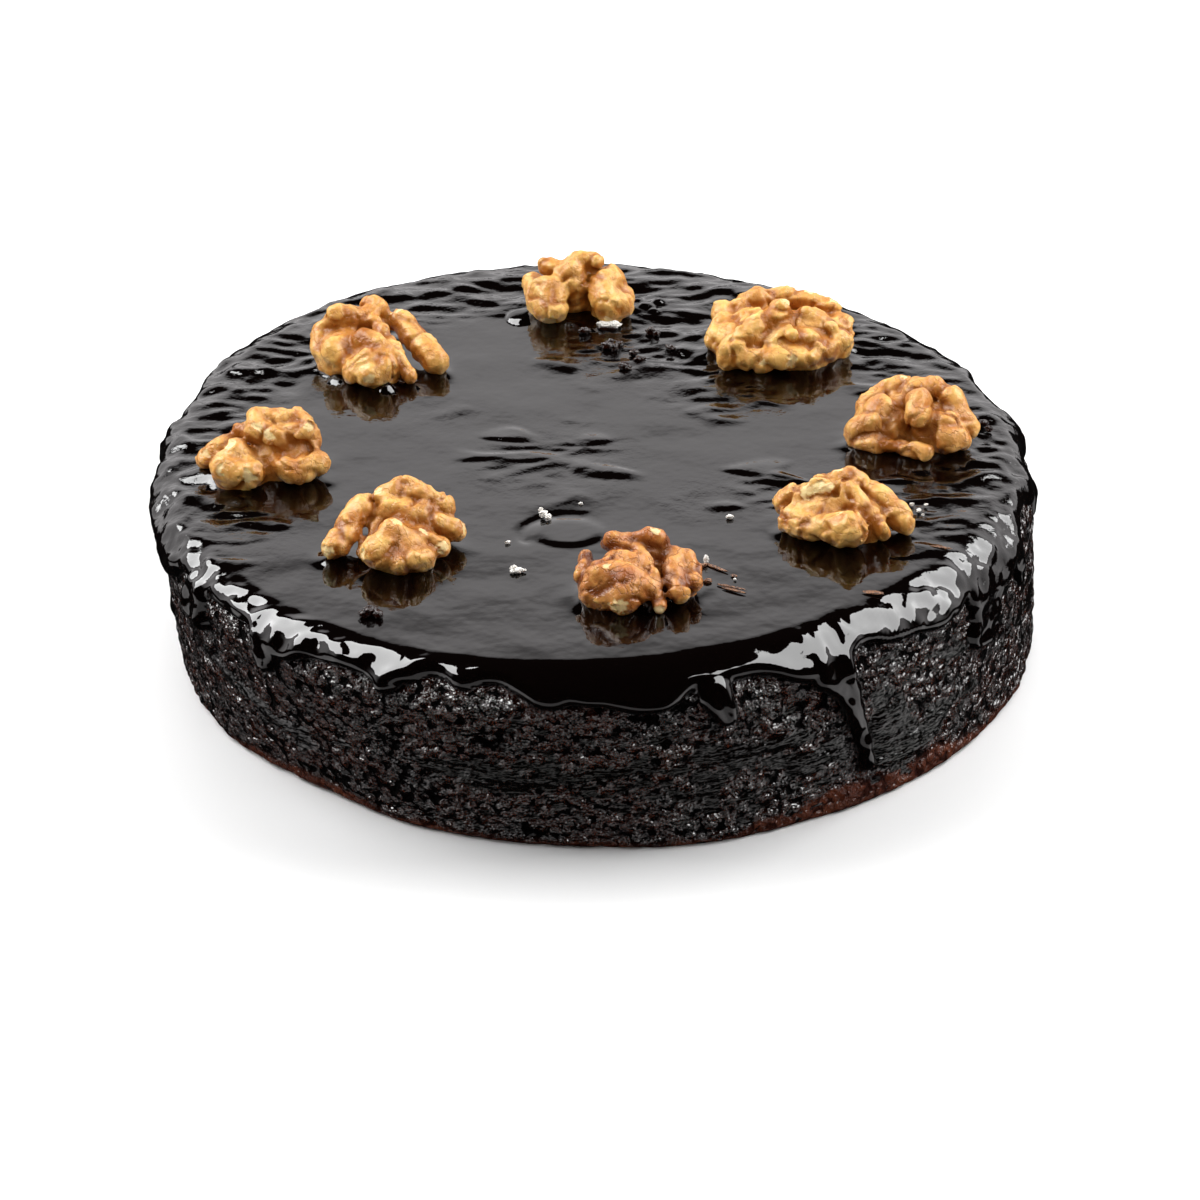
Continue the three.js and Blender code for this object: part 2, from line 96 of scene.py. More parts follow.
def outline(azimuth, down, outside):
    """Points outside the sponge's outline. Down is the length along it from the flat top's
    edge, round the shoulder and down the side; a negative one is a share of the way in."""
    turn = np.clip(down, 0, SHOULDER_ARC) / SHOULDER
    reach = SHOULDER + outside
    flat = (side_radius(azimuth, 1.0) - SHOULDER) * (1 + np.minimum(down, 0))
    on_shoulder = place(azimuth, flat + reach * np.sin(turn), RIM_HEIGHT + reach * np.cos(turn))
    z = RIM_HEIGHT - np.maximum(down - SHOULDER_ARC, 0)
    tuck = FOOT_TUCK * np.clip(1 - z / FOOT_ROUND, 0, 1) ** 2
    on_side = place(azimuth, side_radius(azimuth, z / RIM_HEIGHT) - tuck + outside, z)
    return np.where((down > SHOULDER_ARC)[..., None], on_side, on_shoulder)


def lattice(cells, seed):
    """A fixed number from 0 to 1 for each whole-numbered cell, by mixing its bits."""
    x, y, z = (cells[..., k].astype(np.int64) for k in range(3))
    mixed = (x * 374761393 + y * 668265263 + z * 1440662683 + seed * 3266489917) & 0xFFFFFFFF
    mixed = ((mixed ^ (mixed >> 13)) * 1274126177) & 0xFFFFFFFF
    mixed = ((mixed ^ (mixed >> 15)) * 2246822519) & 0xFFFFFFFF
    return ((mixed ^ (mixed >> 16)) & 0xFFFFFF) / 0xFFFFFF


def noise(points, size, seed=0):
    """Gradient noise, about -1 to 1: a random slope at each corner of a grid of that size,
    blended with a smooth step. Size may be one number or one an axis."""
    scaled = points / size
    low = np.floor(scaled)
    part = scaled - low
    ease = part ** 3 * (part * (part * 6 - 15) + 10)
    total = np.zeros(part.shape[:-1])
    for corner in np.ndindex(2, 2, 2):
        cell = low + np.array(corner[::-1])
        off = scaled - cell
        slope = np.stack([lattice(cell, seed * 3 + k) for k in range(3)], axis=-1) * 2 - 1
        bits = cell - low
        weight = np.prod(np.where(bits > 0, ease, 1 - ease), axis=-1)
        total += weight * (slope * off).sum(axis=-1)
    return total * 1.6


def grains(points, size, seed=0):
    """Distance to the nearest of one random point in each grid cell, in cells."""
    scaled = points / size
    low = np.floor(scaled)
    nearest = np.full(low.shape[:-1], 9.0)
    for shift in np.ndindex(3, 3, 3):
        cell = low + np.array(shift) - 1
        grain = np.stack([lattice(cell, seed * 3 + k) for k in range(3)], axis=-1)
        nearest = np.minimum(nearest, ((cell + grain - scaled) ** 2).sum(axis=-1))
    return np.sqrt(nearest)


def smooth_step(low, high, value):
    """0 below low, 1 above high, with a soft bend at both."""
    t = np.clip((value - low) / (high - low), 0, 1)
    return t * t * (3 - 2 * t)


def soft_max(a, b, blend):
    """The larger of two fields, with the crease between them rounded over the blend."""
    return np.maximum(a, b) + blend * np.log1p(np.exp(-np.abs(a - b) / blend))


def ring_quads(rings, columns, first=0):
    """Quads between equal rings of points, each ring following the one before it."""
    ring, column = np.meshgrid(np.arange(rings - 1), np.arange(columns), indexing="ij")
    a = first + ring * columns + column
    b = first + ring * columns + (column + 1) % columns
    return np.stack([a, b, b + columns, a + columns], axis=-1).reshape(-1, 4)


def fan(pole, ring, columns, outward):
    """Triangles from a pole point to a ring that starts at an index."""
    here = ring + np.arange(columns)
    after = ring + (np.arange(columns) + 1) % columns
    pair = (here, after) if outward else (after, here)
    return np.stack([np.full(columns, pole), *pair], axis=-1)


def add_object(name, data):
    """A new object in the scene."""
    made = bpy.data.objects.new(name, data)
    bpy.context.scene.collection.objects.link(made)
    return made


def piece(name, node, slot, points, faces, material, attributes=()):
    """A smooth mesh made of arrays of faces, in metres, that stands for a node."""
    mesh = bpy.data.meshes.new(name)
    placed = (points + FOOT_MIDDLE) * 0.001
    corners = np.concatenate([f.reshape(-1) for f in faces])
    sizes = np.concatenate([np.full(len(f), f.shape[1]) for f in faces])
    starts = np.concatenate([[0], np.cumsum(sizes)[:-1]])
    mesh.vertices.add(len(placed))
    mesh.vertices.foreach_set("co", placed.astype(np.float32).ravel())
    mesh.loops.add(len(corners))
    mesh.loops.foreach_set("vertex_index", corners.astype(np.int32))
    mesh.polygons.add(len(sizes))
    mesh.polygons.foreach_set("loop_start", starts.astype(np.int32))
    mesh.polygons.foreach_set("use_smooth", np.ones(len(sizes), dtype=bool))
    mesh.update(calc_edges=True)
    mesh.validate()
    for label, values in attributes:
        data = mesh.attributes.new(label, "FLOAT", "POINT").data
        data.foreach_set("value", values.astype(np.float32).ravel())
    mesh.materials.append(material)
    made = add_object(name, mesh)
    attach(made, "root")
    if node:
        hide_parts(node)


class Wire:
    """A shader socket that takes part in arithmetic; each operation adds a Math node."""

    def __init__(self, tree, socket):
        self.tree = tree
        self.socket = socket

    def math(self, operation, a, b):
        return self.tree.node("ShaderNodeMath", {"operation": operation}, {0: a, 1: b})

    def __add__(self, other):
        return self.math("ADD", self, other)

    def __sub__(self, other):
        return self.math("SUBTRACT", self, other)

    def __rsub__(self, other):
        return self.math("SUBTRACT", other, self)

    def __mul__(self, other):
        return self.math("MULTIPLY", self, other)

    def __abs__(self):
        return self.math("ABSOLUTE", self, 0.0)

    __radd__ = __add__
    __rmul__ = __mul__


class Shader:
    """The node tree of a material or the world, and the few nodes that its recipes use."""

    def __init__(self, owner):
        self.owner = owner
        owner.use_nodes = True
        self.nodes = owner.node_tree.nodes
        self.links = owner.node_tree.links
        self.nodes.clear()
        self.place = self.node("ShaderNodeTexCoord", {}, {}, "Object")

    def node(self, kind, settings, inputs, output=0):
        """Adds a node: settings first, then each socket's value or link."""
        made = self.nodes.new(kind)
        for key, value in settings.items():
            setattr(made, key, value)
        for key, value in inputs.items():
            if isinstance(value, Wire):
                self.links.new(value.socket, made.inputs[key])
            else:
                made.inputs[key].default_value = value
        return Wire(self, made.outputs[output] if made.outputs else None)

    def attribute(self, name):
        return self.node("ShaderNodeAttribute", {"attribute_name": name}, {}, "Fac")

    def stretched(self, scale):
        """Object coordinates scaled on each axis."""
        return self.node("ShaderNodeMapping", {}, {"Vector": self.place, "Scale": scale})

    def clouds(self, scale, detail=3.0, roughness=0.55, place=None):
        """Noise texture, 0 to 1, at so many waves a metre."""
        inputs = {"Vector": place or self.place, "Scale": scale, "Detail": detail}
        return self.node("ShaderNodeTexNoise", {}, {**inputs, "Roughness": roughness}, "Fac")

    def beads(self, scale):
        """Round bumps, so many a metre: 1 less the squared distance to the nearest point."""
        inputs = {"Vector": self.place, "Scale": scale}
        away = self.node("ShaderNodeTexVoronoi", {}, inputs, "Distance")
        return 1 - away * away * 1.5

    def between(self, low, high, value):
        """0 to 1 as a value goes from low to high, softly."""
        settings = {"interpolation_type": "SMOOTHSTEP"}
        return self.node(
            "ShaderNodeMapRange", settings, {"Value": value, "From Min": low, "From Max": high}
        )

    def mix(self, share, a, b):
        """Colour a turned into colour b by a share."""
        a, b = (c if isinstance(c, Wire) else (*c, 1.0) for c in (a, b))
        return self.node("ShaderNodeMix", {"data_type": "RGBA"}, {0: share, 6: a, 7: b}, 2)

    def bump(self, height, distance, below=None):
        """A normal pushed about by a height, in metres when distance is 1."""
        inputs = {"Height": height, "Distance": distance, "Strength": 1.0}
        if below:
            inputs["Normal"] = below
        return self.node("ShaderNodeBump", {}, inputs)

    def surface(self, inputs):
        """A surface with these inputs."""
        return self.node("ShaderNodeBsdfPrincipled", {}, inputs)

    def blend(self, share, a, b):
        """Surface a turned into surface b by a share."""
        return self.node("ShaderNodeMixShader", {}, {0: share, 1: a, 2: b})

    def finish(self, surface):
        """Puts a surface on the material."""
        self.node("ShaderNodeOutputMaterial", {}, {"Surface": surface})
        return self.owner


def sponge_material():
    """Wet black-brown crumb of small beads and clumps, with dull pits between them painted near
    black as shade; film is the share of the surface that syrup has made smooth, and dry the share
    near the foot that it hasn't reached."""
    s = Shader(bpy.data.materials.new("soaked_sponge"))
    film = s.attribute("film")
    dry = s.attribute("dry")
    patch = s.between(0.35, 0.7, s.clouds(160, 4))
    beads = s.beads(430) * 0.8 + s.beads(1000) * 0.2
    raised = s.between(0.33, 0.62, beads + 0.2 * patch)
    wet = s.mix(patch, (0.003, 0.0007, 0.0004), (0.022, 0.0045, 0.0018))
    bare = s.mix(patch, (0.07, 0.016, 0.007), (0.14, 0.038, 0.017))
    # Painted shade: the pits between the beads are near black, and dark brown in the dry band.
    pit_shade = s.mix(dry, (0.0004, 0.0002, 0.0002), (0.022, 0.005, 0.0025))
    clumps = s.clouds(400, 2.5, 0.6)
    crumbs = s.bump((beads * (0.4 + 0.45 * patch) + 1.15 * clumps) * (1 - film), 0.0021)
    ripple = s.clouds(260, 2, 0.5, s.stretched((1.0, 1.0, 2.4)))
    normal = s.bump(ripple * film, 0.0009, crumbs)
    dull = s.surface({
        "Base Color": s.mix(raised, pit_shade, s.mix(dry, wet, bare)),
        "Roughness": 0.8,
        "Specular IOR Level": 0.03,
        "Normal": normal,
    })
    beaded = s.surface({
        "Base Color": wet,
        "Roughness": 0.045 + 0.04 * patch,
        "IOR": 1.85,
        "Normal": normal,
    })
    smooth = s.surface({
        "Base Color": (0.0014, 0.0008, 0.0006, 1.0),
        "Roughness": 0.05,
        "IOR": 1.5,
        "Normal": normal,
    })
    bare_crumb = s.blend(raised * (1 - 0.7 * dry), dull, beaded)
    return s.finish(s.blend(film, bare_crumb, smooth))


SPONGE_COLUMNS = 1080
SPONGE_ROWS = 88
DRY_LEVEL = -0.55  # the syrup's level where there is no film of it

# Where syrup lies smooth on the side: azimuth, height, half width in degrees, half height in
# mm, slope in mm a degree, and how far it fills the crumb in mm.
FILMS = [
    (-90, 19, 27, 17.0, 0.0, 0.42),
    (-91, 22, 26, 4.5, 0.02, 0.6),
    (-86, 13, 20, 3.0, -0.03, 0.4),
    (-70, 26, 9, 2.6, 0.05, 0.9),
    (-142, 24, 14, 3.0, -0.55, 1.5),
    (-170, 22, 9, 3.0, -0.7, 1.2),
    (-51, 20, 4, 10.0, 0.0, 1.7),
    (-48, 12, 6, 4.0, 0.2, 1.6),
    (-40, 17, 7, 4.0, 0.3, 1.1),
    (-37, 31, 5, 2.2, -0.15, 1.8),
    (-62, 18, 5, 6.0, 0.1, 0.9),
    (-10, 24, 14, 8.0, 0.1, 0.7),
    (38, 22, 20, 5.0, -0.1, 0.9),
    (86, 18, 24, 5.0, 0.05, 0.9),
    (140, 22, 18, 6.0, 0.1, 0.9),
    (175, 16, 12, 6.0, -0.2, 0.8),
]


def film_level(azimuth, z):
    """Height of the syrup over the sponge's outline: stretched noise, and more in each film."""
    level = np.full(np.shape(z), DRY_LEVEL)
    for at, height, half_width, half_height, slope, amount in FILMS:
        turn = turn_from(at, azimuth)
        rise = z - height - slope * turn
        level = level + amount * np.exp(-(turn / half_width) ** 4 - (rise / half_height) ** 2)
    return level


# Rows run from the foot up to the flat top's edge, the last four a millimetre apart.
azimuth, row = np.meshgrid(
    np.arange(SPONGE_COLUMNS) * 360 / SPONGE_COLUMNS, np.arange(SPONGE_ROWS), indexing="xy"
)
down = np.interp(row, [0, SPONGE_ROWS - 5, SPONGE_ROWS - 1], [SHOULDER_ARC + RIM_HEIGHT, 4, 0])
skin = outline(azimuth, down, 0.0)
height = skin[..., 2]
crumb = (
    0.42 - grains(skin, 3.0, 1) ** 2
    + 0.25 * (0.42 - grains(skin, 1.8, 2) ** 2)
    + 0.45 * noise(skin, 9.0, 3)
    + 0.35 * noise(skin, 4.2, 4)
)
streaks = 0.7 * noise(skin, (13.0, 13.0, 3.2), 5) + 0.42 * noise(skin, (5.5, 5.5, 1.7), 6)
film = film_level(azimuth, height) + streaks
wet = smooth_step(-0.08, 0.14, film - crumb)
foot_top = 1.6 + bumps([(-54, 5.5, 20), (-135, 2.0, 28), (60, 4.5, 30), (115, 3.5, 25)], azimuth)
foot_band = smooth_step(1.5, -1.5, height - foot_top + 2.5 * noise(skin, 12.0, 7))
swell = smooth_step(0.0, 1.5, height)
relief = soft_max(crumb, film, 0.06) * (0.35 + 0.65 * swell)
skin = outline(azimuth, down, relief)
skin[0, :, 2] = 0.0

rings = skin.reshape(-1, 3)
count = len(rings)
poles = [[0, 0, 0], [RIM_SHIFT, 0, SPONGE_HEIGHT]]
at_poles = [0, 0]  # no film or dry crumb where it is hidden
piece(
    "soaked_sponge",
    "cake",
    "sponge",
    np.concatenate([rings, poles]),
    [
        ring_quads(SPONGE_ROWS, SPONGE_COLUMNS),
        fan(count, 0, SPONGE_COLUMNS, False),
        fan(count + 1, count - SPONGE_COLUMNS, SPONGE_COLUMNS, True),
    ],
    sponge_material(),
    [
        ("film", np.append(wet.ravel(), at_poles)),
        ("dry", np.append((foot_band * (1 - wet)).ravel(), at_poles)),
    ],
)

# --------------------------------------
# Chocolate coat
# A dark, mirror-bright coat poured over the middle while warm. It levelled itself, ran over
# the shoulder and stopped in runs and drips with a thick rounded lip. The walnut halves were
# set in it while it was wet, so it climbs a little up each one.
# --------------------------------------

COAT = 2.5  # thickness
GAP = 0.3  # between the sponge's outline and the coat
COAT_TOP = SPONGE_HEIGHT + GAP + COAT
COAT_EDGE = 46.2  # height of the lower edge between the runs
LIP_ROUND = 2.4  # length over which the lip rounds off
LIP_OUTSIDE = 1.2  # how far outside the sponge's outline the lip runs
LIP_BEAD = 0.4  # how far the lip swells, and over what length
LIP_BEAD_LENGTH = 1.6
TUCK_UNDER = 1.8  # how far the face goes under the crumb past the lip
UNDERSIDE = 2.2  # depth of the underside, inside the sponge
ARC_RADIUS = 115.0  # radius at which degrees become mm along the side

# Broad runs of the edge: azimuth, how far it hangs below COAT_EDGE, half width in degrees.
RUNS = [
    (-170, 5, 9), (-158, 6, 4), (-131.8, 6.5, 1.9), (-129.3, 3.5, 3.4), (-114.2, 3.6, 1.6),
    (-108, -2.6, 2.4), (-101, -2.2, 2.6), (-94.7, 3, 2.2), (-89, 2.4, 3.5), (-82.7, 5, 4),
    (-61.5, 5.2, 5.2), (-47.5, 3.2, 5), (-40, 5, 4.5), (-29, 7, 5), (-22, 5, 5), (-6, 4, 3.5),
    (9, 7, 3.2), (19, -2, 4), (33, 4, 6), (60, 3, 5), (71, 8.5, 2.4), (88, -2, 5), (112, 6, 6),
    (131, -2.5, 5), (142, 6, 3.4), (161, -2, 6), (172, 6, 2.8),
]

# Drips and tongues: azimuth, height and radius in mm at each point they run through.
DRIPS = [
    [(-147.6, 44, 6), (-147.3, 38, 3.6)],
    [(-75, 44, 4.6), (-74.2, 38.2, 3.4)],
    [(-59.5, 42, 6.5), (-57.8, 36, 4), (-57, 30, 3), (-55.8, 20, 2.3), (-55.3, 13, 2.8)],
    [(-31, 42, 9), (-31.5, 33, 6), (-33.5, 31.5, 4.5)],
    [(-20, 42, 4), (-19, 33, 2.2)],
    [(-3, 42, 3.4), (-3.5, 37, 2)],
    [(42, 42, 5), (42.5, 33, 2.6)],
    [(105, 40, 5), (105.6, 32, 2.8), (105, 27, 2.6)],
    [(142, 42, 4), (141.5, 37, 2.6)],
]


def down_at(z):
    """Length down the outline at which the coat's lip has a height."""
    on_shoulder = SHOULDER * np.arccos(np.clip((z - RIM_HEIGHT) / (SHOULDER + LIP_OUTSIDE), 0, 1))
    return np.where(z >= RIM_HEIGHT, on_shoulder, SHOULDER_ARC + RIM_HEIGHT - z)


def capsule_depth(point, ends, radii):
    """How deep a point lies in a line thickened by a radius that changes along it."""
    start, end = np.array(ends[0]), np.array(ends[1])
    along = end - start
    share = np.clip(((point - start) @ along) / (along @ along), 0, 1)
    gap = np.linalg.norm(point - start - share[..., None] * along, axis=-1)
    return radii[0] + (radii[1] - radii[0]) * share - gap


def coat_depth(azimuth, down):
    """Distance in from the coat's edge, less than 0 past it: the sloping edge of the runs,
    and each drip as a thickened line, flowing together."""
    edge = down_at(COAT_EDGE - bumps(RUNS, azimuth))
    step = 0.05
    beside = down_at(COAT_EDGE - bumps(RUNS, azimuth + step))
    slope = (beside - edge) / (np.radians(step) * ARC_RADIUS)
    depth = (edge - down) / np.sqrt(1 + slope ** 2)
    for drip in DRIPS:
        turn = turn_from(drip[0][0], azimuth)
        point = np.stack([np.radians(turn) * ARC_RADIUS, down], axis=-1)
        knots = [
            (np.radians(at - drip[0][0]) * ARC_RADIUS, float(down_at(np.array(z))))
            for at, z, _ in drip
        ]
        for i in range(len(drip) - 1):
            radii = (drip[i][2], drip[i + 1][2])
            depth = soft_max(depth, capsule_depth(point, knots[i:i + 2], radii), 0.5)
    return depth


LOBE_BLEND = 0.7  # how softly neighbouring lobes of a walnut flow together

# The walnut halves: the place of each on the coat, its skin (height and size of its lumps in
# mm, and how russet it is), its egg-shaped bodies (middle and radii), its chips (middle and
# radius) and its lobes (a radius, then the points it runs through), in mm from the place.
WALNUTS = [{
    "at": (-7.9, 77.6),
    "skin": (0.35, 5.5, 0.1),
    "bodies": [
        (-7.5, 3, 1.5, 5.2, 6.6, 7.2), (9.3, 2.5, 1.5, 5.2, 6.2, 7), (0, 7.2, 3, 7.5, 5.6, 9.6),
    ],
    "chips": [(-7, -6.8, 1.5, 2.4), (9, -7.4, 1.8, 1.6), (-2, 8, 15.5, 1.4)],
    "lobes": [
        (4.7, (-7, 1, 7.2), (-6.6, -3, 4.3)),
        (3.2, (-9.5, 1, 5), (-11.5, 10.5, 5)),
        (2.8, (-7.5, 8, 11.8), (-3.5, 6, 10)),
        (3.3, (-0.5, 4, 11.5), (0.3, 2.8, 7.5), (0.5, 3.5, 3)),
        (2.6, (-0.5, 6, 11.5), (0.8, 7.5, 13.4), (5.5, 7, 13.4)),
        (4.7, (8, 2, 7.8), (9.2, -3, 4.6)),
        (3, (9.5, 7, 9), (13, 4, 5), (13, -2.5, 4)),
    ],
}, {
    "at": (46.2, 51.6),
    "skin": (0.8, 4.2, 0.12),
    "bodies": [
        (-7.5, 3, 1.5, 10.5, 10, 9.8), (7.5, 2.5, 1.5, 11.5, 9.5, 9.8), (0, 3, 3, 10, 8.5, 9.6),
        (0, -4, 2, 14, 6, 8),
    ],
    "chips": [
        (1.8, 1, 16.2, 1.6), (8.6, 13, 13.2, 1.3), (14.6, 10, 11.5, 1.5), (3.2, -12, 4.6, 1.7),
        (-4.5, -12.2, 4.6, 1.1),
    ],
    "lobes": [
        (2.7, (-14.5, 11, 9), (-14.5, 6, 7), (-17, 2, 4)),
        (3.2, (-10, 11, 9), (-5, 12, 11.3)),
        (3.2, (1, 1.5, 13.3), (-4, -2, 11), (-13, -7, 5.8)),
        (2.6, (-0.5, 13, 11.5), (6.5, 13.5, 11), (14.5, 9.5, 9.3)),
        (2.8, (13.5, 4, 7), (17.3, 4.5, 7.2), (17.3, 0.5, 4.5)),
        (3.4, (7.5, 3, 10), (12.5, 0.5, 8)),
        (3.1, (2.5, -5, 8.6), (8.5, -5.5, 7)),
        (3, (-13.5, -7.5, 3.4), (-4, -9.8, 4), (8, -8.5, 4), (13, -5, 4.6)),
    ],
}, {
    "at": (77.7, 2.8),
    "skin": (0.45, 5, 0.55),
    "bodies": [
        (-5.5, 1, 1.5, 9, 8.5, 8.6), (7, -0.5, 1.5, 8.5, 8.5, 8.6), (1.5, 4, 3, 9.5, 5.5, 8.8),
    ],
    "chips": [(-12.5, -7, 2.5, 1.2), (-0.5, 9, 13, 1.2), (15.8, -1.5, 6.8, 1)],
    "lobes": [
        (3.8, (-7.3, 0, 8.3), (-9.3, -3, 6), (-13, -3, 3.8)),
        (2.2, (-13, -5.5, 2.2), (-7.5, -8.8, 2.6), (-1, -10.8, 2.6), (3.5, -12.8, 2.6)),
        (2.4, (-11, 6, 7), (-6.5, 8.5, 9.3), (-1.2, 8.8, 11)),
        (3.3, (2.4, -2, 11.8), (2, -6.3, 9.8)),
        (2.9, (1.5, 4, 12), (7, 4, 12.3), (11, 1.5, 11), (13, -1.5, 7.5), (15.5, -3, 4.5)),
        (3.9, (8.8, -6.3, 6.8), (9.4, -8.6, 5)),
        (3, (9.5, -10.3, 3.6), (12.3, -8.8, 3.8)),
    ],
}, {
    "at": (58.6, -46),
    "skin": (0.7, 4, 0.3),
    "bodies": [
        (-6, 0, 1.5, 8.8, 7.8, 8.6), (4, -1.5, 1.5, 6.8, 7.8, 8.6), (0, 1, 3, 7.5, 4.5, 9.2),
    ],
    "chips": [
        (-9, -0.5, 11, 1.8), (-6.3, -1.2, 12.4, 2.2), (-3.8, -1.5, 12.9, 1.6),
        (-1.2, -8.5, 9.6, 1.4), (-1.5, 3.5, 15.4, 1.4),
    ],
    "lobes": [
        (2.6, (-5, 3.5, 11.2), (1.5, 3.5, 12.8), (6.5, 2.5, 9.3)),
        (2.7, (-9.5, 1, 9.2), (-4.3, 0.6, 11)),
        (2.7, (-11.5, 5, 7.8), (-14.5, 4.5, 5)),
        (3.3, (-13.5, -2.5, 4), (-9.5, -6.5, 4), (-5, -8, 5)),
        (4.4, (1.5, -10.3, 5.4), (-1.5, -9, 4.5)),
        (2.2, (-0.5, 1, 11.2), (5, -4.6, 8.6), (9.2, -8.4, 3.6)),
        (3.1, (8.5, 1.2, 8), (12, -1.5, 6.4), (14.6, -3.8, 4)),
    ],
}, {
    "at": (7.4, -75.8),
    "skin": (0.4, 5.2, 1),
    "bodies": [
        (-6.2, -3.8, 1.5, 8.2, 8, 8.2), (1.5, 3, 2, 7, 5, 8.8), (10, -1, 1.5, 4.6, 6.5, 6.2),
    ],
    "chips": [
        (-4.7, -15.2, 3.2, 2.2), (-7.8, -8.5, 11, 0.9), (5, -14.6, 1.8, 1.5), (4.4, 3, 14.3, 1.5),
    ],
    "lobes": [
        (4.3, (-8, -6.5, 7), (-3.5, -9, 6.8), (-1, -9.5, 5.5)),
        (3.4, (-11, -8, 4), (-3.5, -12, 3.6)),
        (2.2, (-12.5, 1.5, 7.5), (-13.5, -3, 5), (-10.5, -5, 5.5)),
        (2.6, (-6.5, 3, 11.5), (-3.5, 3, 10.5)),
        (2.2, (-1.5, 4, 11), (2, 3.5, 12.8), (6, 4, 11.5)),
        (2.6, (-5.5, -2, 9.3), (-1.5, -3.4, 8.8)),
        (1.8, (0, 1, 10), (2.5, -3, 8.6), (4.9, -13, 2)),
        (2.8, (7.8, 2, 7.8), (8.7, -5, 6), (9.6, -9, 4.2)),
        (2.4, (11.7, 1.5, 7.3), (13.2, -1, 6), (13.2, -5, 4.5)),
    ],
}, {
    "at": (-52.9, -57.2),
    "skin": (0.5, 4.8, 0.4),
    "bodies": [(3, -3, 1.5, 8, 8.5, 7.8), (5, 5.7, 2.5, 9.2, 6.3, 9)],
    "chips": [
        (1.8, -4.5, 11.6, 1.7), (-6.3, -9.8, 5.6, 1.7), (7.6, -3.2, 8.4, 1.3), (13, -5, 5, 1.7),
        (17.6, 2.6, 5.8, 1.3), (-15.5, -5, 4, 1.7), (-3.5, 9, 13.6, 1.4),
    ],
    "lobes": [
        (3.4, (-7.5, 7.5, 9), (-10.5, 2.5, 6.6), (-14, -2.5, 3.2)),
        (4.1, (0.5, -4.5, 7.8), (-3, -8.5, 4.8)),
        (3.3, (5, -4.5, 6.5), (3, -11, 4), (7.5, -8, 3.8)),
        (2.7, (-2, 9.5, 11), (3, 12, 12.8), (7, 9, 12), (13, 7.5, 9.3)),
        (2.6, (-0.5, 6.5, 9.8), (3, 4.6, 8.8), (9, 5, 9.3)),
        (2.8, (11, 3, 7), (15.3, 3.2, 5)),
        (2.3, (7.8, -1.5, 6.5), (12, -3.5, 4)),
        (1.6, (-7.5, 7.5, 7.3), (-2.5, 6, 7.8), (-7, -3, 2.4)),
    ],
}, {
    "at": (-87.7, -9.3),
    "skin": (0.45, 5, 0.35),
    "bodies": [(-5, -6, 1, 7.2, 8.2, 7.6), (6, -1.5, 1.5, 9.3, 8.2, 9.6)],
    "chips": [
        (2.6, -6.3, 12, 1.9), (-0.6, -3.8, 13.5, 1.3), (12.8, -4, 13.5, 1.4),
        (-9.5, -13, 6, 1.5), (-2.2, -15.4, 5.4, 2), (-7, -8, 10.6, 1.9), (-14, -2.5, 5, 1.3),
    ],
    "lobes": [
        (2.5, (-2.5, 2.5, 8.6), (-6, 3.8, 8.2), (-14.3, -1.5, 2.8)),
        (3.5, (-6, -7, 7.4), (-8.5, -10.5, 5.4), (-1.5, -12.3, 4.6)),
        (2.9, (-0.5, -2, 11.3), (-0.5, 2.5, 12.8), (8.5, 1, 12.8)),
        (2.8, (-0.5, -2, 11.3), (6, -4, 10.3), (11.5, -3, 11.8)),
        (2.3, (9, 5.5, 11.8), (12.5, -0.5, 10.8), (13.5, -3, 8.3)),
        (3.2, (6.5, -10, 5), (9, -11, 4.2), (15, -7.5, 5)),
    ],
}, {
    "at": (-59.7, 48),
    "skin": (0.45, 5, 0.2),
    "bodies": [(-9, 1, 1.5, 8.2, 8.2, 8.8), (-1, -5.5, 1.5, 6.8, 8.6, 8.2)],
    "chips": [
        (-2.2, -16.8, 4.8, 1.5), (4.6, 9.5, 12.6, 1.8), (2.2, -2, 12, 1.1), (1, 13, 14.6, 1.2),
    ],
    "lobes": [
        (3.6, (-11, 6, 12), (-8, 5.5, 12)),
        (2.8, (-2.5, 11.5, 12.8), (-0.5, 10, 12), (-6, 6, 11)),
        (2.2, (-13, 5, 9), (-15.5, 6, 8.3), (-16, 0.5, 5)),
        (3, (-10, -0.5, 7), (-12, -4, 7), (-9.8, -5.5, 4.5)),
        (3.4, (-4.2, -2.5, 9.8), (1, -7, 7.8), (2, -11, 5.8), (-1.5, -13.5, 4.2)),
        (3.3, (-2, -10, 6.8), (-6, -10.5, 3.6)),
        (1.8, (-4, 9, 11.3), (1, 0.5, 10.8), (8.3, -11, 2.6)),
        (3.4, (5.8, 8.5, 9.3), (10, 3, 7), (15, -4.5, 3.2)),
        (1.5, (-1, 6, 9), (3, 10, 8), (5.8, 8.5, 8.8)),
    ],
}]


def walnut_distance(points, nut, blend=LOBE_BLEND):
    """Distance to a walnut half, from its place on the coat: the smallest of its bodies' and
    lobes' distances, flowing together by -blend log(sum(exp(-distance / blend)))."""
    total = np.zeros(points.shape[:-1])
    for x, y, z, *radii in nut["bodies"]:
        scaled = (points - (x, y, z)) / radii
        size = np.linalg.norm(scaled, axis=-1)
        slope = np.linalg.norm(scaled / radii, axis=-1) + 1e-9
        total += np.exp(-np.maximum(size * (size - 1) / slope, -9) / blend)
    for radius, *corners in nut["lobes"]:
        nearest = np.full(points.shape[:-1], np.inf)
        for start, end in zip(np.array(corners[:-1]), np.array(corners[1:])):
            along = end - start
            share = np.clip(((points - start) @ along) / (along @ along), 0, 1)
            off = points - start - share[..., None] * along
            nearest = np.minimum(nearest, np.linalg.norm(off, axis=-1))
        total += np.exp(-(nearest - radius) / blend)
    return -blend * np.log(total + 1e-30)


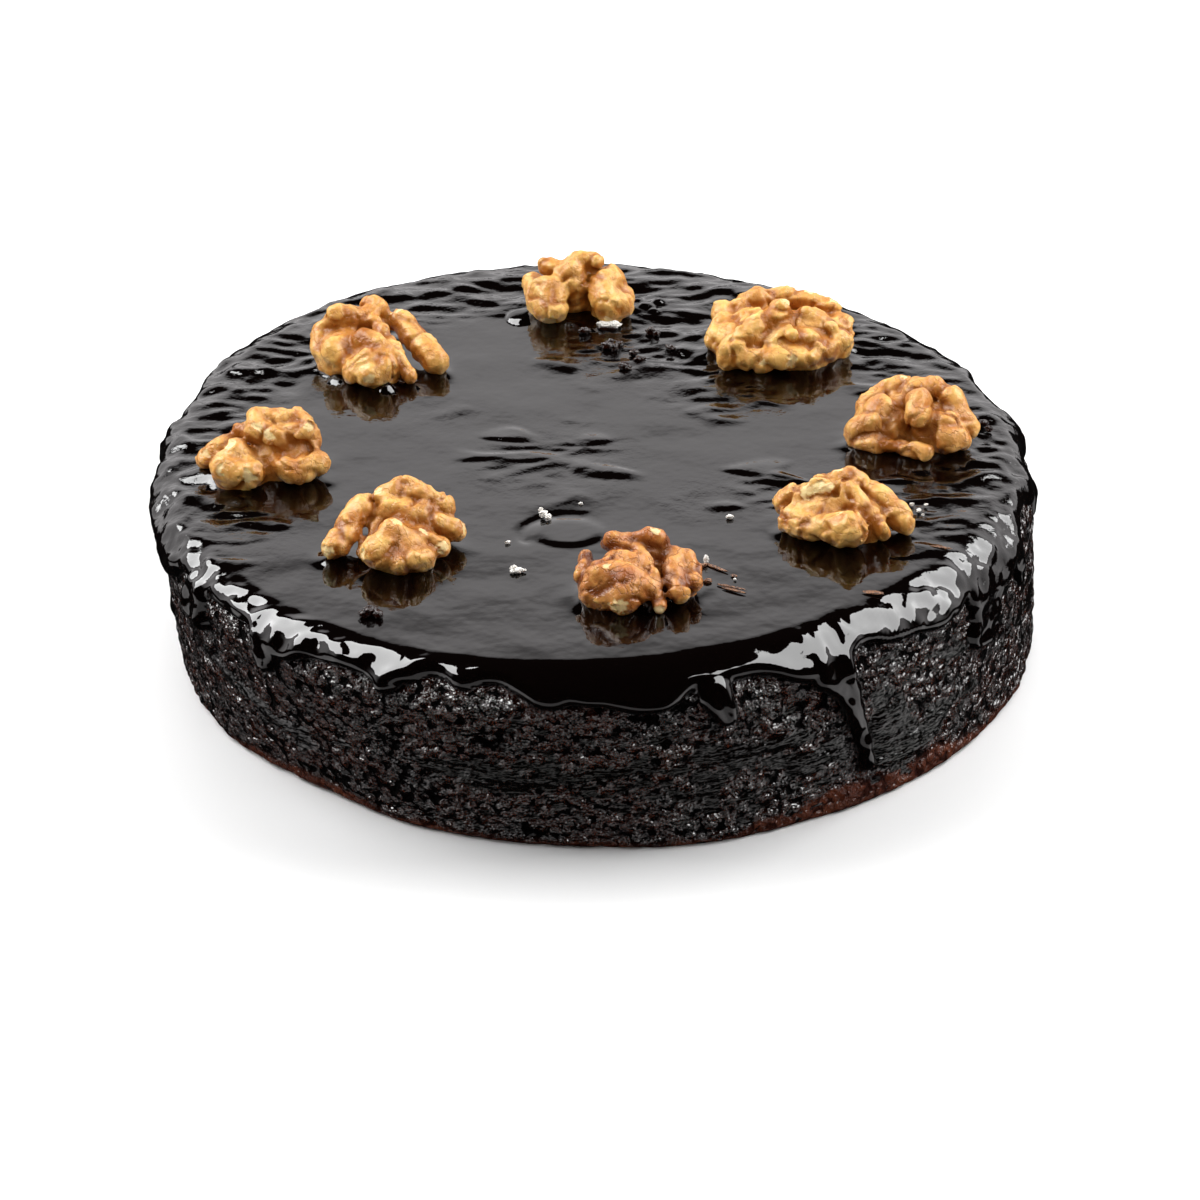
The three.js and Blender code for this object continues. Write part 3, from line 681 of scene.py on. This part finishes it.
# Patches of the top where the coat lies over crumbs: place, half width, and how rough.
ROUGH_PATCHES = [
    (-14, -8, 24, 0.62), (12, 62, 30, 0.9), (30, 34, 20, 0.8), (40, -24, 16, 0.6),
    (-45, 20, 14, 0.3), (24, -30, 12, 0.5), (-50, -45, 18, 0.35), (60, -20, 14, 0.45),
]

# Beads of coat that stand proud of the top: place, radius and height.
BEADS = [
    (-57.8, 33.8, 2.6, 1.5), (-22.2, 77.2, 4.4, 1.5), (-70.5, 39.5, 2.6, 1),
    (11.6, 83.5, 2.4, 1.2), (14.8, 85.8, 2, 1), (9.2, 87.6, 1.8, 0.9), (13.5, 80, 1.5, 0.8),
]

BLISTER_AT = (-9.5, -46.5)
BLISTER_RADII = (9.0, 7.2)
NUT_REACH = 30  # a walnut half lies within this of its place
MENISCUS = 1.3  # length over which the coat sinks back beside a walnut half
MENISCUS_AT = 0.8  # height at which the half's outline is taken for that


def top_roughness(flat):
    """How much crumbs ruffle the coat's top, 0 to 1: near the rim, but not at the front, and in
    each rough patch."""
    x, y = flat[..., 0] - RIM_SHIFT, flat[..., 1]
    radius = np.hypot(x, y)
    rough = smooth_step(68, 96, radius) * smooth_step(0.8, 0.25, -y / np.maximum(radius, 1))
    for at_x, at_y, half_width, amount in ROUGH_PATCHES:
        away = np.hypot(flat[..., 0] - at_x, flat[..., 1] - at_y)
        rough = np.maximum(rough, amount * np.exp(-(away / half_width) ** 4))
    return rough


def top_relief(points):
    """Height of the coat's top over its level, at points on it: long soft waves, shorter rolling
    ones by the rim, flat-topped swellings over crumbs, a blister with a groove beside it,
    beads, and a rise round each walnut half."""
    flat = points * (1, 1, 0)
    rough = top_roughness(flat)
    relief = 0.14 * noise(flat, (26, 16, 1), 22) + 0.04 * noise(flat, 9, 23)
    rolling = 0.8 * noise(flat, (15, 7, 1), 24) + 0.5 * noise(flat, (6.5, 3.2, 1), 25)
    relief += smooth_step(0.35, 0.9, rough) * rolling
    swell = smooth_step(0.12, 0.55, noise(flat, (17, 9, 1), 28))
    relief += 0.5 * smooth_step(0.1, 0.5, rough) * swell
    off = (flat[..., :2] - BLISTER_AT) / BLISTER_RADII
    away = np.hypot(off[..., 0], off[..., 1])
    to_left = smooth_step(0.2, 0.8, (off[..., 1] - 1.2 * off[..., 0]) / np.maximum(away, 0.1))
    relief += 0.4 * smooth_step(1.12, 0.78, away)
    relief -= 0.45 * to_left * np.exp(-((away - 1.32) / 0.13) ** 2)
    for x, y, radius, rise in BEADS:
        share = np.hypot(flat[..., 0] - x, flat[..., 1] - y) / radius
        relief += rise * np.sqrt(np.clip(1 - share ** 2, 0, 1))
    for nut in WALNUTS:
        near = np.linalg.norm(flat[..., :2] - nut["at"], axis=-1) < NUT_REACH
        foot = flat[near] - (*nut["at"], 0) + (0, 0, MENISCUS_AT)
        reach = MENISCUS * (1.1 + 0.5 * noise(flat[near], 6, 27))
        relief[near] += 0.95 * np.exp(-np.maximum(walnut_distance(foot, nut), 0) / reach)
    return relief


def coat_material():
    """Black-brown chocolate glaze, mirror smooth, with the faintest ripple."""
    s = Shader(bpy.data.materials.new("poured_chocolate"))
    rough = s.attribute("rough")
    ripple = s.clouds(120, 2, 0.5) * 0.5 + s.clouds(460, 3, 0.6) * (0.05 + 0.4 * rough)
    return s.finish(s.surface({
        "Base Color": (0.0013, 0.0006, 0.0005, 1.0),
        "Roughness": 0.035,
        "IOR": 1.52,
        "Normal": s.bump(ripple, 0.0003),
    }))


COAT_COLUMNS = 720
TOP_ROWS_INSIDE = 30
TOP_ROWS_OUTSIDE = 64
SIDE_ROWS = 44
SIDE_MARGIN = 3.5  # how far the grid goes past the coat's lowest point
HALF_WAY = 0.47  # share of the flat top's radius where the grid's columns double

# Columns lie closer together where drips hang.
turns = np.linspace(-180, 180, 3601)
crowd = 1 + bumps([(at, 1.4, 4) for (at, *_), *_ in DRIPS], turns)
crowd += bumps([(-57, 1.5, 4), (-36, 0.6, 9)], turns)
passed = np.concatenate([[0], np.cumsum((crowd[1:] + crowd[:-1]) / 2)])
columns = np.interp(np.arange(COAT_COLUMNS) / COAT_COLUMNS, passed / passed[-1], turns)

# How far down the side the coat goes at each column, carried to the columns beside it and
# smoothed, and where the grid ends.
probe_down = np.arange(0, 52, 0.5)
probe = coat_depth(*np.broadcast_arrays(columns[:, None], probe_down[None, :])) > 0
lowest = np.where(probe, probe_down, 0).max(axis=1)
for _ in range(3):
    lowest = np.maximum(lowest, np.maximum(np.roll(lowest, 3), np.roll(lowest, -3)))
for _ in range(40):
    lowest = (np.roll(lowest, 1) + 2 * lowest + np.roll(lowest, -1)) / 4
side_end = lowest + SIDE_MARGIN

# Where the lip is drawn out thin: azimuth, how much longer it is, half width in degrees.
THIN_LIPS = [(2, 1.3, 22), (178, 0.9, 20)]
THIN_RUNS = [(8, 0.5, 30), (176, 0.35, 20)]  # and by what share the runs above it are thinner

# Where the shoulder is uneven: azimuth, amount, half width in degrees.
UNEVEN = [(-137, 1.5, 26), (-38, 1.1, 27), (20, 0.6, 30), (90, 0.6, 50), (170, 0.9, 30)]
DOME = 0.35  # how far the top has sunk at its edge


def coat_skin(azimuth, down):
    """Points of the coat's outer face: its thickness is full inside, rounds off to nothing at
    the lip by a quarter ellipse, and past the edge goes under the crumb."""
    level = outline(azimuth, down, GAP + COAT)
    depth = coat_depth(azimuth, np.maximum(down, 0))
    rounding = LIP_ROUND * (1 + 0.35 * noise(level, 9, 14) + bumps(THIN_LIPS, azimuth))
    lip = np.sqrt(1 - (1 - np.clip(depth / rounding, 0, 1)) ** 2)
    bead = LIP_BEAD * np.exp(-((depth - rounding) / LIP_BEAD_LENGTH) ** 2) * (depth > 0)
    shoulder = smooth_step(0, 5, down)
    bumpy = 0.12 + bumps(UNEVEN, azimuth)
    broken = 0.8 * noise(level, 6, 12) + 0.35 * noise(level, 3, 13)
    uneven = 0.3 * noise(level, 12, 11) + bumpy * broken
    drawn = bumps(THIN_RUNS, azimuth) * smooth_step(5, 18, down)
    thick = COAT * (1 - drawn) + shoulder * (uneven * lip + bead) * (1 - drawn)
    outside = GAP + thick * lip - TUCK_UNDER * smooth_step(0, 1.2, -depth)
    skin = outline(azimuth, down, outside)
    sunk = DOME * smooth_step(-0.5, 0.1, np.minimum(down, 0)) ** 2
    skin[..., 2] += (1 - shoulder) * top_relief(level)
    skin[..., 2] -= sunk * smooth_step(SHOULDER_ARC, 0, down)
    return skin


inner_share = -1 + HALF_WAY * np.arange(1, TOP_ROWS_INSIDE + 1) / TOP_ROWS_INSIDE
outer_share = (HALF_WAY - 1) * (1 - np.arange(1, TOP_ROWS_OUTSIDE + 1) / TOP_ROWS_OUTSIDE)
inside = coat_skin(*np.meshgrid(columns[::2], inner_share))
outside = coat_skin(*np.meshgrid(columns, outer_share))
side_share = np.arange(1, SIDE_ROWS + 1)[:, None] / SIDE_ROWS
side = coat_skin(np.broadcast_to(columns, (SIDE_ROWS, COAT_COLUMNS)), side_share * side_end)
under_down = np.stack([side_end, 0.55 * side_end + 4, np.zeros(COAT_COLUMNS)])
under = outline(np.broadcast_to(columns, (3, COAT_COLUMNS)), under_down, -UNDERSIDE)

half = COAT_COLUMNS // 2
upper = np.concatenate([outside, side, under]).reshape(-1, 3)
first_upper = 2 + inside[:, :, 0].size
points = np.concatenate([
    [[RIM_SHIFT, 0, 0], [RIM_SHIFT, 0, SPONGE_HEIGHT - UNDERSIDE]],
    inside.reshape(-1, 3),
    upper,
])
points[0] = inside[0].mean(axis=0)

# Where the columns double, each edge of the inner ring meets two of the outer.
last_inside = 2 + (TOP_ROWS_INSIDE - 1) * half
here = last_inside + np.arange(half)
after = last_inside + (np.arange(half) + 1) % half
below = first_upper + 2 * np.arange(half)
middle = below + 1
beyond = first_upper + (2 * np.arange(half) + 2) % COAT_COLUMNS
rings = TOP_ROWS_OUTSIDE + SIDE_ROWS + 3
piece(
    "poured_chocolate",
    "chocolate_coat",
    "chocolate",
    points,
    [
        fan(0, 2, half, True),
        ring_quads(TOP_ROWS_INSIDE, half, 2)[:, ::-1],
        np.stack([here, below, middle], axis=-1),
        np.stack([here, middle, after], axis=-1),
        np.stack([after, middle, beyond], axis=-1),
        ring_quads(rings, COAT_COLUMNS, first_upper)[:, ::-1],
        fan(1, first_upper + (rings - 1) * COAT_COLUMNS, COAT_COLUMNS, False),
    ],
    coat_material(),
    [("rough", top_roughness(points) * (points[:, 2] > RIM_HEIGHT))],
)

# --------------------------------------
# Walnut halves
# Shelled and glazed halves: waxy golden kernels, folded into lobes, with brown skin left in
# the folds and painted shade darkening them, and pale chips where they have rubbed. They stand
# in the coat in a ring.
# --------------------------------------

NUT_CELL = 0.42  # grid cell of a half's net
NUT_BLEND = 0.55  # how softly lobes flow together in the net
NUT_MARGIN = 7.5  # room in the grid beside the lobes' middles, and above them
NUT_HEADROOM = 6.0
NUT_FOOT = -1.0  # height at which a half is cut flat, in the coat
SKIN_BAND = 2.6  # distance from the smooth shape within which it gets its relief
NOISE_SHIFT = 50.0  # moves each half to a part of the noise of its own


def beside(at, axis, shift):
    """Index of the cells that lie so far back from edges along an axis."""
    cells = at.copy()
    cells[:, (axis + 1) % 3] -= shift[0]
    cells[:, (axis + 2) % 3] -= shift[1]
    return tuple(cells.T)


def net(field, low, cell):
    """The closed surface where a grid of distances is zero: one point in every cell that it
    passes through, the mean of its crossings, and a square across every crossed edge."""
    inside = field < 0
    shape = np.array(field.shape) - 1
    total = np.zeros((*shape, 3))
    count = np.zeros(shape)
    crossings = []
    for axis in range(3):
        lower = tuple(slice(None, -1) if k == axis else slice(None) for k in range(3))
        upper = tuple(slice(1, None) if k == axis else slice(None) for k in range(3))
        at = np.argwhere(inside[lower] != inside[upper])
        start = field[lower][tuple(at.T)]
        end = field[upper][tuple(at.T)]
        spot = at.astype(float)
        spot[:, axis] += start / (start - end)
        for shift in np.ndindex(2, 2):
            np.add.at(total, beside(at, axis, shift), spot)
            np.add.at(count, beside(at, axis, shift), 1)
        crossings.append((axis, at, start < 0))
    used = count > 0
    index = np.full(shape, -1)
    index[used] = np.arange(used.sum())
    quads = []
    for axis, at, solid_first in crossings:
        round_edge = [beside(at, axis, shift) for shift in ((1, 1), (0, 1), (0, 0), (1, 0))]
        ring = np.stack([index[cells] for cells in round_edge], axis=-1)
        quads.append(np.where(solid_first[:, None], ring, ring[:, ::-1]))
    points = total[used] / count[used][:, None] * cell + low
    return points, np.concatenate(quads)


def kernel_skin(points, nut, number):
    """Relief of a kernel's skin in mm outward: rounded lumps of two sizes, shallow seams and
    ragged chips. Also the height of its lumps, and how far in a chip each point is, 0 to 1."""
    lump, size, _ = nut["skin"]
    spot = points + NOISE_SHIFT * number
    bent = spot + 1.7 * np.stack([noise(spot, 5.5, 30 + k) for k in range(3)], axis=-1)
    coarse = grains(bent, size, 40) ** 2
    fine = grains(bent, 0.5 * size, 41) ** 2
    seam = smooth_step(0.22, 0.0, np.abs(noise(bent, 8.0, 33)))
    ragged = noise(spot, 1.5, 35) + 0.6 * noise(spot, 0.8, 36)
    chip = np.zeros(points.shape[:-1])
    for *middle, radius in nut["chips"]:
        away = np.linalg.norm(points - middle, axis=-1) / radius + 0.6 * ragged
        chip = np.maximum(chip, smooth_step(0.95, 0.75, away))
    relief = 1.25 * lump * (0.4 - coarse) + 0.6 * lump * (0.4 - fine)
    relief += 0.36 * noise(bent, 2.8, 34) + 0.14 * noise(bent, 1.5, 39)
    relief -= (0.3 + 0.45 * lump) * seam
    height = relief.copy()
    relief += 0.6 * noise(bent, 6.5, 38)
    return relief * (1 - chip) + chip * (0.35 * ragged - 0.15), height, chip


def walnut_material():
    """Waxy kernel: amber on the lobes, russet or golden skin, brown skin and painted shade in the
    folds, and cream where it is chipped."""
    s = Shader(bpy.data.materials.new("glazed_walnut"))
    fold_skin_and_shade = s.attribute("fold_skin_and_shade")
    chip = s.attribute("chip")
    russet = s.attribute("russet")
    mottle = s.between(0.34, 0.66, s.clouds(190, 5, 0.62))
    amber = s.mix(russet, (0.60, 0.26, 0.050), (0.42, 0.132, 0.029))
    light = s.mix(russet, (0.84, 0.51, 0.155), (0.66, 0.29, 0.08))
    brown = s.mix(russet, (0.40, 0.135, 0.018), (0.18, 0.047, 0.009))
    veins = s.between(0.035, 0.0, abs(s.clouds(230, 3, 0.5) - 0.5)) * (0.25 + 0.3 * russet)
    colour = s.mix(veins, s.mix(mottle, amber, light), brown)
    colour = s.mix(0.5 * s.attribute("ridge"), colour, (0.90, 0.56, 0.16))
    # The folds take the brown of the skin left in them, which also stands in as painted shade.
    colour = s.mix(fold_skin_and_shade, colour, brown)
    colour = s.mix(0.85 * chip, colour, (0.88, 0.68, 0.33))
    fine = s.clouds(650, 4, 0.6) - veins * 0.6
    return s.finish(s.surface({
        "Base Color": colour,
        "Roughness": 0.12 + 0.12 * s.clouds(500, 3) + 0.3 * chip,
        "Specular IOR Level": 0.25,
        "Subsurface Weight": 0.15,
        "Subsurface Radius": (1.0, 0.42, 0.12),
        "Subsurface Scale": 0.0015,
        "Normal": s.bump(fine, 0.00045),
    }))


def openness(points, nut, reach):
    """How open the space in front of each point is: the distance to the half from a point that
    far out along the slope of its distance, over that reach. It is 1 on an open lobe."""
    steps = np.eye(3) * 0.3
    slope = np.stack(
        [walnut_distance(points + k, nut) - walnut_distance(points - k, nut) for k in steps],
        axis=-1,
    )
    slope /= np.linalg.norm(slope, axis=-1, keepdims=True) + 1e-9
    return walnut_distance(points + reach * slope, nut) / reach


walnut_skin = walnut_material()
for number, nut in enumerate(WALNUTS, 1):
    spots = np.array([spot for _, *lobe in nut["lobes"] for spot in lobe])
    low = np.array([*(spots.min(axis=0)[:2] - NUT_MARGIN), NUT_FOOT - 0.2])
    high = np.array([*(spots.max(axis=0)[:2] + NUT_MARGIN), spots[:, 2].max() + NUT_HEADROOM])
    axes = [np.arange(low[k], high[k], NUT_CELL) for k in range(3)]
    grid = np.stack(np.meshgrid(*axes, indexing="ij"), axis=-1)
    field = walnut_distance(grid, nut, NUT_BLEND)
    close = np.abs(field) < SKIN_BAND
    field[close] -= kernel_skin(grid[close], nut, number)[0]
    field = np.maximum(field, NUT_FOOT - grid[..., 2])
    points, quads = net(field, low, NUT_CELL)
    height, chip = kernel_skin(points, nut, number)[1:]
    # Painted shade: folds and seams are darkened by how closed in they are and how low the skin's
    # relief lies, over the brown skin left there.
    fold_skin_and_shade = np.maximum(
        smooth_step(0.92, 0.45, openness(points, nut, 3.0)),
        smooth_step(0.9, 0.35, openness(points, nut, 1.2)),
    )
    crease = smooth_step(0.05, -0.8, height)
    fold_skin_and_shade = np.clip(0.85 * fold_skin_and_shade + 0.45 * crease, 0, 1) * (1 - chip)
    ridge = smooth_step(0.05, 0.55, height) * (1 - fold_skin_and_shade)
    russet = nut["skin"][2] + 0.25 * noise(points + NOISE_SHIFT * number, 7.0, 37)
    piece(
        f"glazed_walnut_{number}",
        f"walnut_half_{number}",
        "walnut",
        points + (*nut["at"], COAT_TOP),
        [quads],
        walnut_skin,
        [("fold_skin_and_shade", fold_skin_and_shade), ("ridge", ridge), ("chip", chip), ("russet", np.clip(russet, 0, 1))],
    )

# --------------------------------------
# Crumbs on the coat
# What fell on the coat while it was wet: white sugary flakes, dark crumbs of the sponge that
# the coat has half covered, and thin brown shreds of walnut skin.
# --------------------------------------

# Each is a place on the coat's top, the radii, and a turn in degrees.
FLAKES = [
    (-15.8, -38.4, 1, 1.1, 0.9, 1, 20), (-14.6, -39.6, 0.8, 1, 0.8, 0.8, 70),
    (-16.4, -37.2, 1.5, 0.6, 0.5, 0.7, 0), (-22.9, -66, 0.7, 0.9, 0.8, 0.8, 10),
    (-21.8, -67, 0.6, 1.2, 0.8, 0.7, 40), (-20.6, -66.8, 0.5, 0.8, 0.4, 0.4, 10),
    (-23.2, -67.4, 0.5, 0.6, 0.6, 0.5, 0), (30.7, -40, 0.5, 0.9, 0.7, 0.6, 0),
    (-6.4, -31.7, 0.3, 0.5, 0.4, 0.4, 0), (-24.5, -52, 0.4, 0.7, 0.4, 0.5, 30),
    (1.2, 70.6, 1, 3, 1.3, 1, -6), (2.6, 70.2, 1.2, 1.6, 1.1, 0.9, 30),
    (76.4, -34, 0.4, 0.6, 0.4, 0.4, 0), (77.9, -37.2, 0.4, 0.8, 0.5, 0.4, 60),
    (79.9, -34.1, 0.3, 0.5, 0.4, 0.3, 0), (78.8, -39.5, 0.3, 0.4, 0.3, 0.3, 0),
    (24.2, -63.2, 1, 0.7, 0.6, 1.3, 30), (31, -72, 0.3, 0.4, 0.3, 0.3, 0),
]
DARK_CRUMBS = [
    (0.6, 57.6, 1, 1.5, 1.2, 1.2, 0), (2.6, 56.6, 1, 1.3, 1.1, 1.2, 40),
    (3.9, 58.4, 0.9, 1.2, 1, 1, 10), (1.6, 59.2, 1.4, 1, 0.9, 0.9, 0),
    (7.8, 53.4, 0.8, 1.4, 0.9, 0.9, 20), (5, 45.2, 0.9, 1.2, 1.1, 1.4, 0),
    (6.2, 44.4, 0.7, 1, 0.8, 0.8, 50), (9.4, 49.6, 0.7, 1.6, 0.9, 0.9, 10),
    (12.6, 66, 1, 1.2, 1.1, 1.3, 0), (14, 65.2, 0.8, 1, 0.9, 0.9, 30),
    (17.5, 56.8, 0.7, 1.4, 0.8, 0.8, -30), (-5.4, 67.5, 0.7, 1.8, 1.1, 0.9, 10),
    (0.9, 69.2, 0.4, 2.8, 1, 0.8, -4),
    (97.4, 9.6, 0.9, 1.5, 1.2, 1, 0), (95.2, 12.6, 0.9, 1.2, 1.4, 1.1, 0),
    (98.8, 6.8, 0.6, 1, 0.9, 0.9, 0), (-57.2, -87.6, 1, 2, 1.5, 1.5, 20),
    (-55.2, -88.6, 0.8, 1.3, 1.2, 1.1, 0), (-58.8, -88.4, 0.7, 1.2, 1, 1, 0),
]
SHREDS = [
    (26.6, -66, 0.35, 3.4, 0.45, 0.3, -40), (22.5, -65.4, 0.5, 2.2, 0.6, 0.5, 25),
    (24.4, -73, 0.5, 1, 0.8, 0.6, 0), (20.6, -72.2, 0.3, 3.6, 0.4, 0.25, -4),
    (29.8, -75.8, 0.3, 3.8, 0.4, 0.3, -24), (30.6, -77.6, 0.3, 3, 0.4, 0.3, -28),
    (30.8, -70.2, 0.3, 0.9, 0.5, 0.3, -30), (82.3, -56.5, 0.2, 2.6, 0.5, 0.2, -20),
    (64.4, -79, 0.1, 2.4, 0.9, 0.25, -10),
]
BLOB_COLUMNS = 22
BLOB_RINGS = 12


def blobs(rows, jagged):
    """Points and faces of many lumpy ellipsoids: each ray's length is 1 plus noise and grains
    times how jagged they are, before it is stretched, turned and put in place."""
    tilt = np.linspace(0, np.pi, BLOB_RINGS + 2)[1:-1, None]
    around = np.arange(BLOB_COLUMNS)[None, :] * 2 * np.pi / BLOB_COLUMNS
    ring = np.stack([
        np.sin(tilt) * np.cos(around),
        np.sin(tilt) * np.sin(around),
        np.cos(tilt) + 0 * around,
    ], axis=-1).reshape(-1, 3)
    unit = np.concatenate([ring, [[0, 0, 1], [0, 0, -1]]])
    count = len(ring)
    points, faces = [], [[], [], []]
    for index, (x, y, z, *radii, turn) in enumerate(rows):
        spot = unit * 1.3 + 9.0 * index
        length = 1 + jagged * (0.6 * noise(spot, 0.9, 50) + 0.55 - grains(spot, 0.8, 51))
        c, s = np.cos(np.radians(turn)), np.sin(np.radians(turn))
        shape = unit * length[:, None] * radii @ np.array([[c, s, 0], [-s, c, 0], [0, 0, 1]])
        points.append(shape + (x, y, COAT_TOP + z))
        first = index * (count + 2)
        faces[0].append(ring_quads(BLOB_RINGS, BLOB_COLUMNS, first)[:, ::-1])
        faces[1].append(fan(first + count, first, BLOB_COLUMNS, True))
        faces[2].append(fan(first + count + 1, first + count - BLOB_COLUMNS, BLOB_COLUMNS, False))
    return np.concatenate(points), [np.concatenate(part) for part in faces]


def grainy_material(name, low, high, rough, gloss, relief):
    """A crumb's surface: two colours in small patches over fine grains."""
    s = Shader(bpy.data.materials.new(name))
    grain = s.beads(2400) * 0.6 + s.clouds(1900, 3) * 0.4
    return s.finish(s.surface({
        "Base Color": s.mix(s.between(0.3, 0.75, grain), low, high),
        "Roughness": rough,
        "Specular IOR Level": gloss,
        "Normal": s.bump(grain, relief),
    }))


flake_skin = grainy_material(
    "white_flake", (0.70, 0.66, 0.60), (0.90, 0.88, 0.84), 0.45, 0.3, 0.0003
)
dark_skin = grainy_material(
    "dark_crumb", (0.002, 0.0008, 0.0006), (0.02, 0.004, 0.002), 0.12, 0.4, 0.00012
)
shred_skin = grainy_material(
    "walnut_shred", (0.05, 0.018, 0.008), (0.26, 0.12, 0.055), 0.35, 0.3, 0.0002
)
piece("white_flakes", None, "walnut", *blobs(FLAKES, 0.5), flake_skin)
piece("dark_crumbs", None, "sponge", *blobs(DARK_CRUMBS, 0.5), dark_skin)
piece("walnut_shreds", None, "walnut", *blobs(SHREDS, 0.3), shred_skin)

# --------------------------------------
# Floor, light and camera
# A pale floor under soft studio light: a white cove behind, two large soft boxes at the
# sides, and a dark room in front. The camera stands where the photograph was taken from.
# --------------------------------------

CAMERA_AT = np.array([-1.88, -1070.25, 598.69])
CAMERA_DOWN = 28.918  # degrees below level
CAMERA_ROLL = -0.582
LENS = 140.4

floor_mesh = bpy.data.meshes.new("floor")
far = 6.0
corners = [(-far, -far, 0), (far, -far, 0), (far, far, 0), (-far, far, 0)]
floor_mesh.from_pydata(corners, [], [(0, 1, 2, 3)])
floor = add_object("floor", floor_mesh)
paint = Shader(bpy.data.materials.new("pale_floor"))
matt = paint.surface({"Base Color": (0.82, 0.82, 0.82, 1.0), "Roughness": 0.8})
floor_mesh.materials.append(paint.finish(matt))
floor.visible_glossy = False

# The room as the glaze mirrors it, by each direction's part up, to the back and to the side:
# a cove up to 35 degrees, and a glow from low down.
world = bpy.data.worlds.new("studio")
bpy.context.scene.world = world
sky = Shader(world)
toward = sky.node("ShaderNodeTexCoord", {}, {}, "Generated")
side, back, up = (sky.node("ShaderNodeSeparateXYZ", {}, {0: toward}, k) for k in "XYZ")
cove = sky.between(0.585, 0.56, up) * sky.between(-0.35, 0.1, back)
bright = sky.mix(sky.between(0.46, 0.57, up), (1.32, 1.28, 1.29), (0.56, 0.545, 0.55))
facing = sky.mix(sky.between(0.45, 0.8, abs(side)), (0.66, 0.64, 0.64), (1.2, 1.17, 1.17))
low_band = sky.between(-0.30, -0.34, up) * sky.between(-0.71, -0.65, up)
low_glow = low_band * sky.between(0.4, 0.2, back)
below = sky.mix(low_glow, (0.008, 0.008, 0.008), facing)
above = sky.mix(cove, (0.006, 0.006, 0.006), bright)
light = sky.mix(sky.between(-0.02, 0.02, up), below, above)
glow = sky.node("ShaderNodeBackground", {}, {"Color": light, "Strength": 1.0})
sky.node("ShaderNodeOutputWorld", {}, {"Surface": glow})


def soft_box(name, at, size, power, mirrored):
    """A rectangular area light that faces the cake: one that glossy surfaces mirror, or one
    that only lights them."""
    data = bpy.data.lights.new(name, "AREA")
    data.shape = "RECTANGLE"
    data.size, data.size_y = size
    data.energy = power
    box = add_object(name, data)
    aim = Vector([-k for k in at]).to_track_quat("-Z", "Y")
    box.matrix_world = Matrix.Translation(at) @ aim.to_matrix().to_4x4()
    box.visible_glossy = mirrored
    box.visible_diffuse = not mirrored


soft_box("soft_box_left", (-1.0, 0.34, 1.3), (1.45, 1.25), 68, True)
soft_box("soft_box_right", (1.05, 0.12, 1.13), (1.9, 1.0), 54, True)
soft_box("fill_left", (-1.0, 0.25, 0.9), (0.9, 0.9), 18, False)
soft_box("fill_right", (1.0, 0.25, 0.9), (0.9, 0.9), 18, False)
soft_box("fill_front", (0.0, -0.9, 1.4), (1.2, 1.2), 10, False)
soft_box("fill_back", (0.0, 0.9, 1.3), (1.2, 1.2), 12, False)

camera_data = bpy.data.cameras.new("camera")
camera_data.lens = LENS
camera_data.sensor_width = 36.0
camera_data.clip_end = 50.0
camera = add_object("camera", camera_data)
camera.matrix_world = (
    Matrix.Translation((CAMERA_AT + FOOT_MIDDLE) * 0.001)
    @ Matrix.Rotation(np.radians(90 - CAMERA_DOWN), 4, "X")
    @ Matrix.Rotation(np.radians(CAMERA_ROLL), 4, "Z")
)
bpy.context.scene.camera = camera
bpy.context.scene.view_settings.view_transform = "Standard"
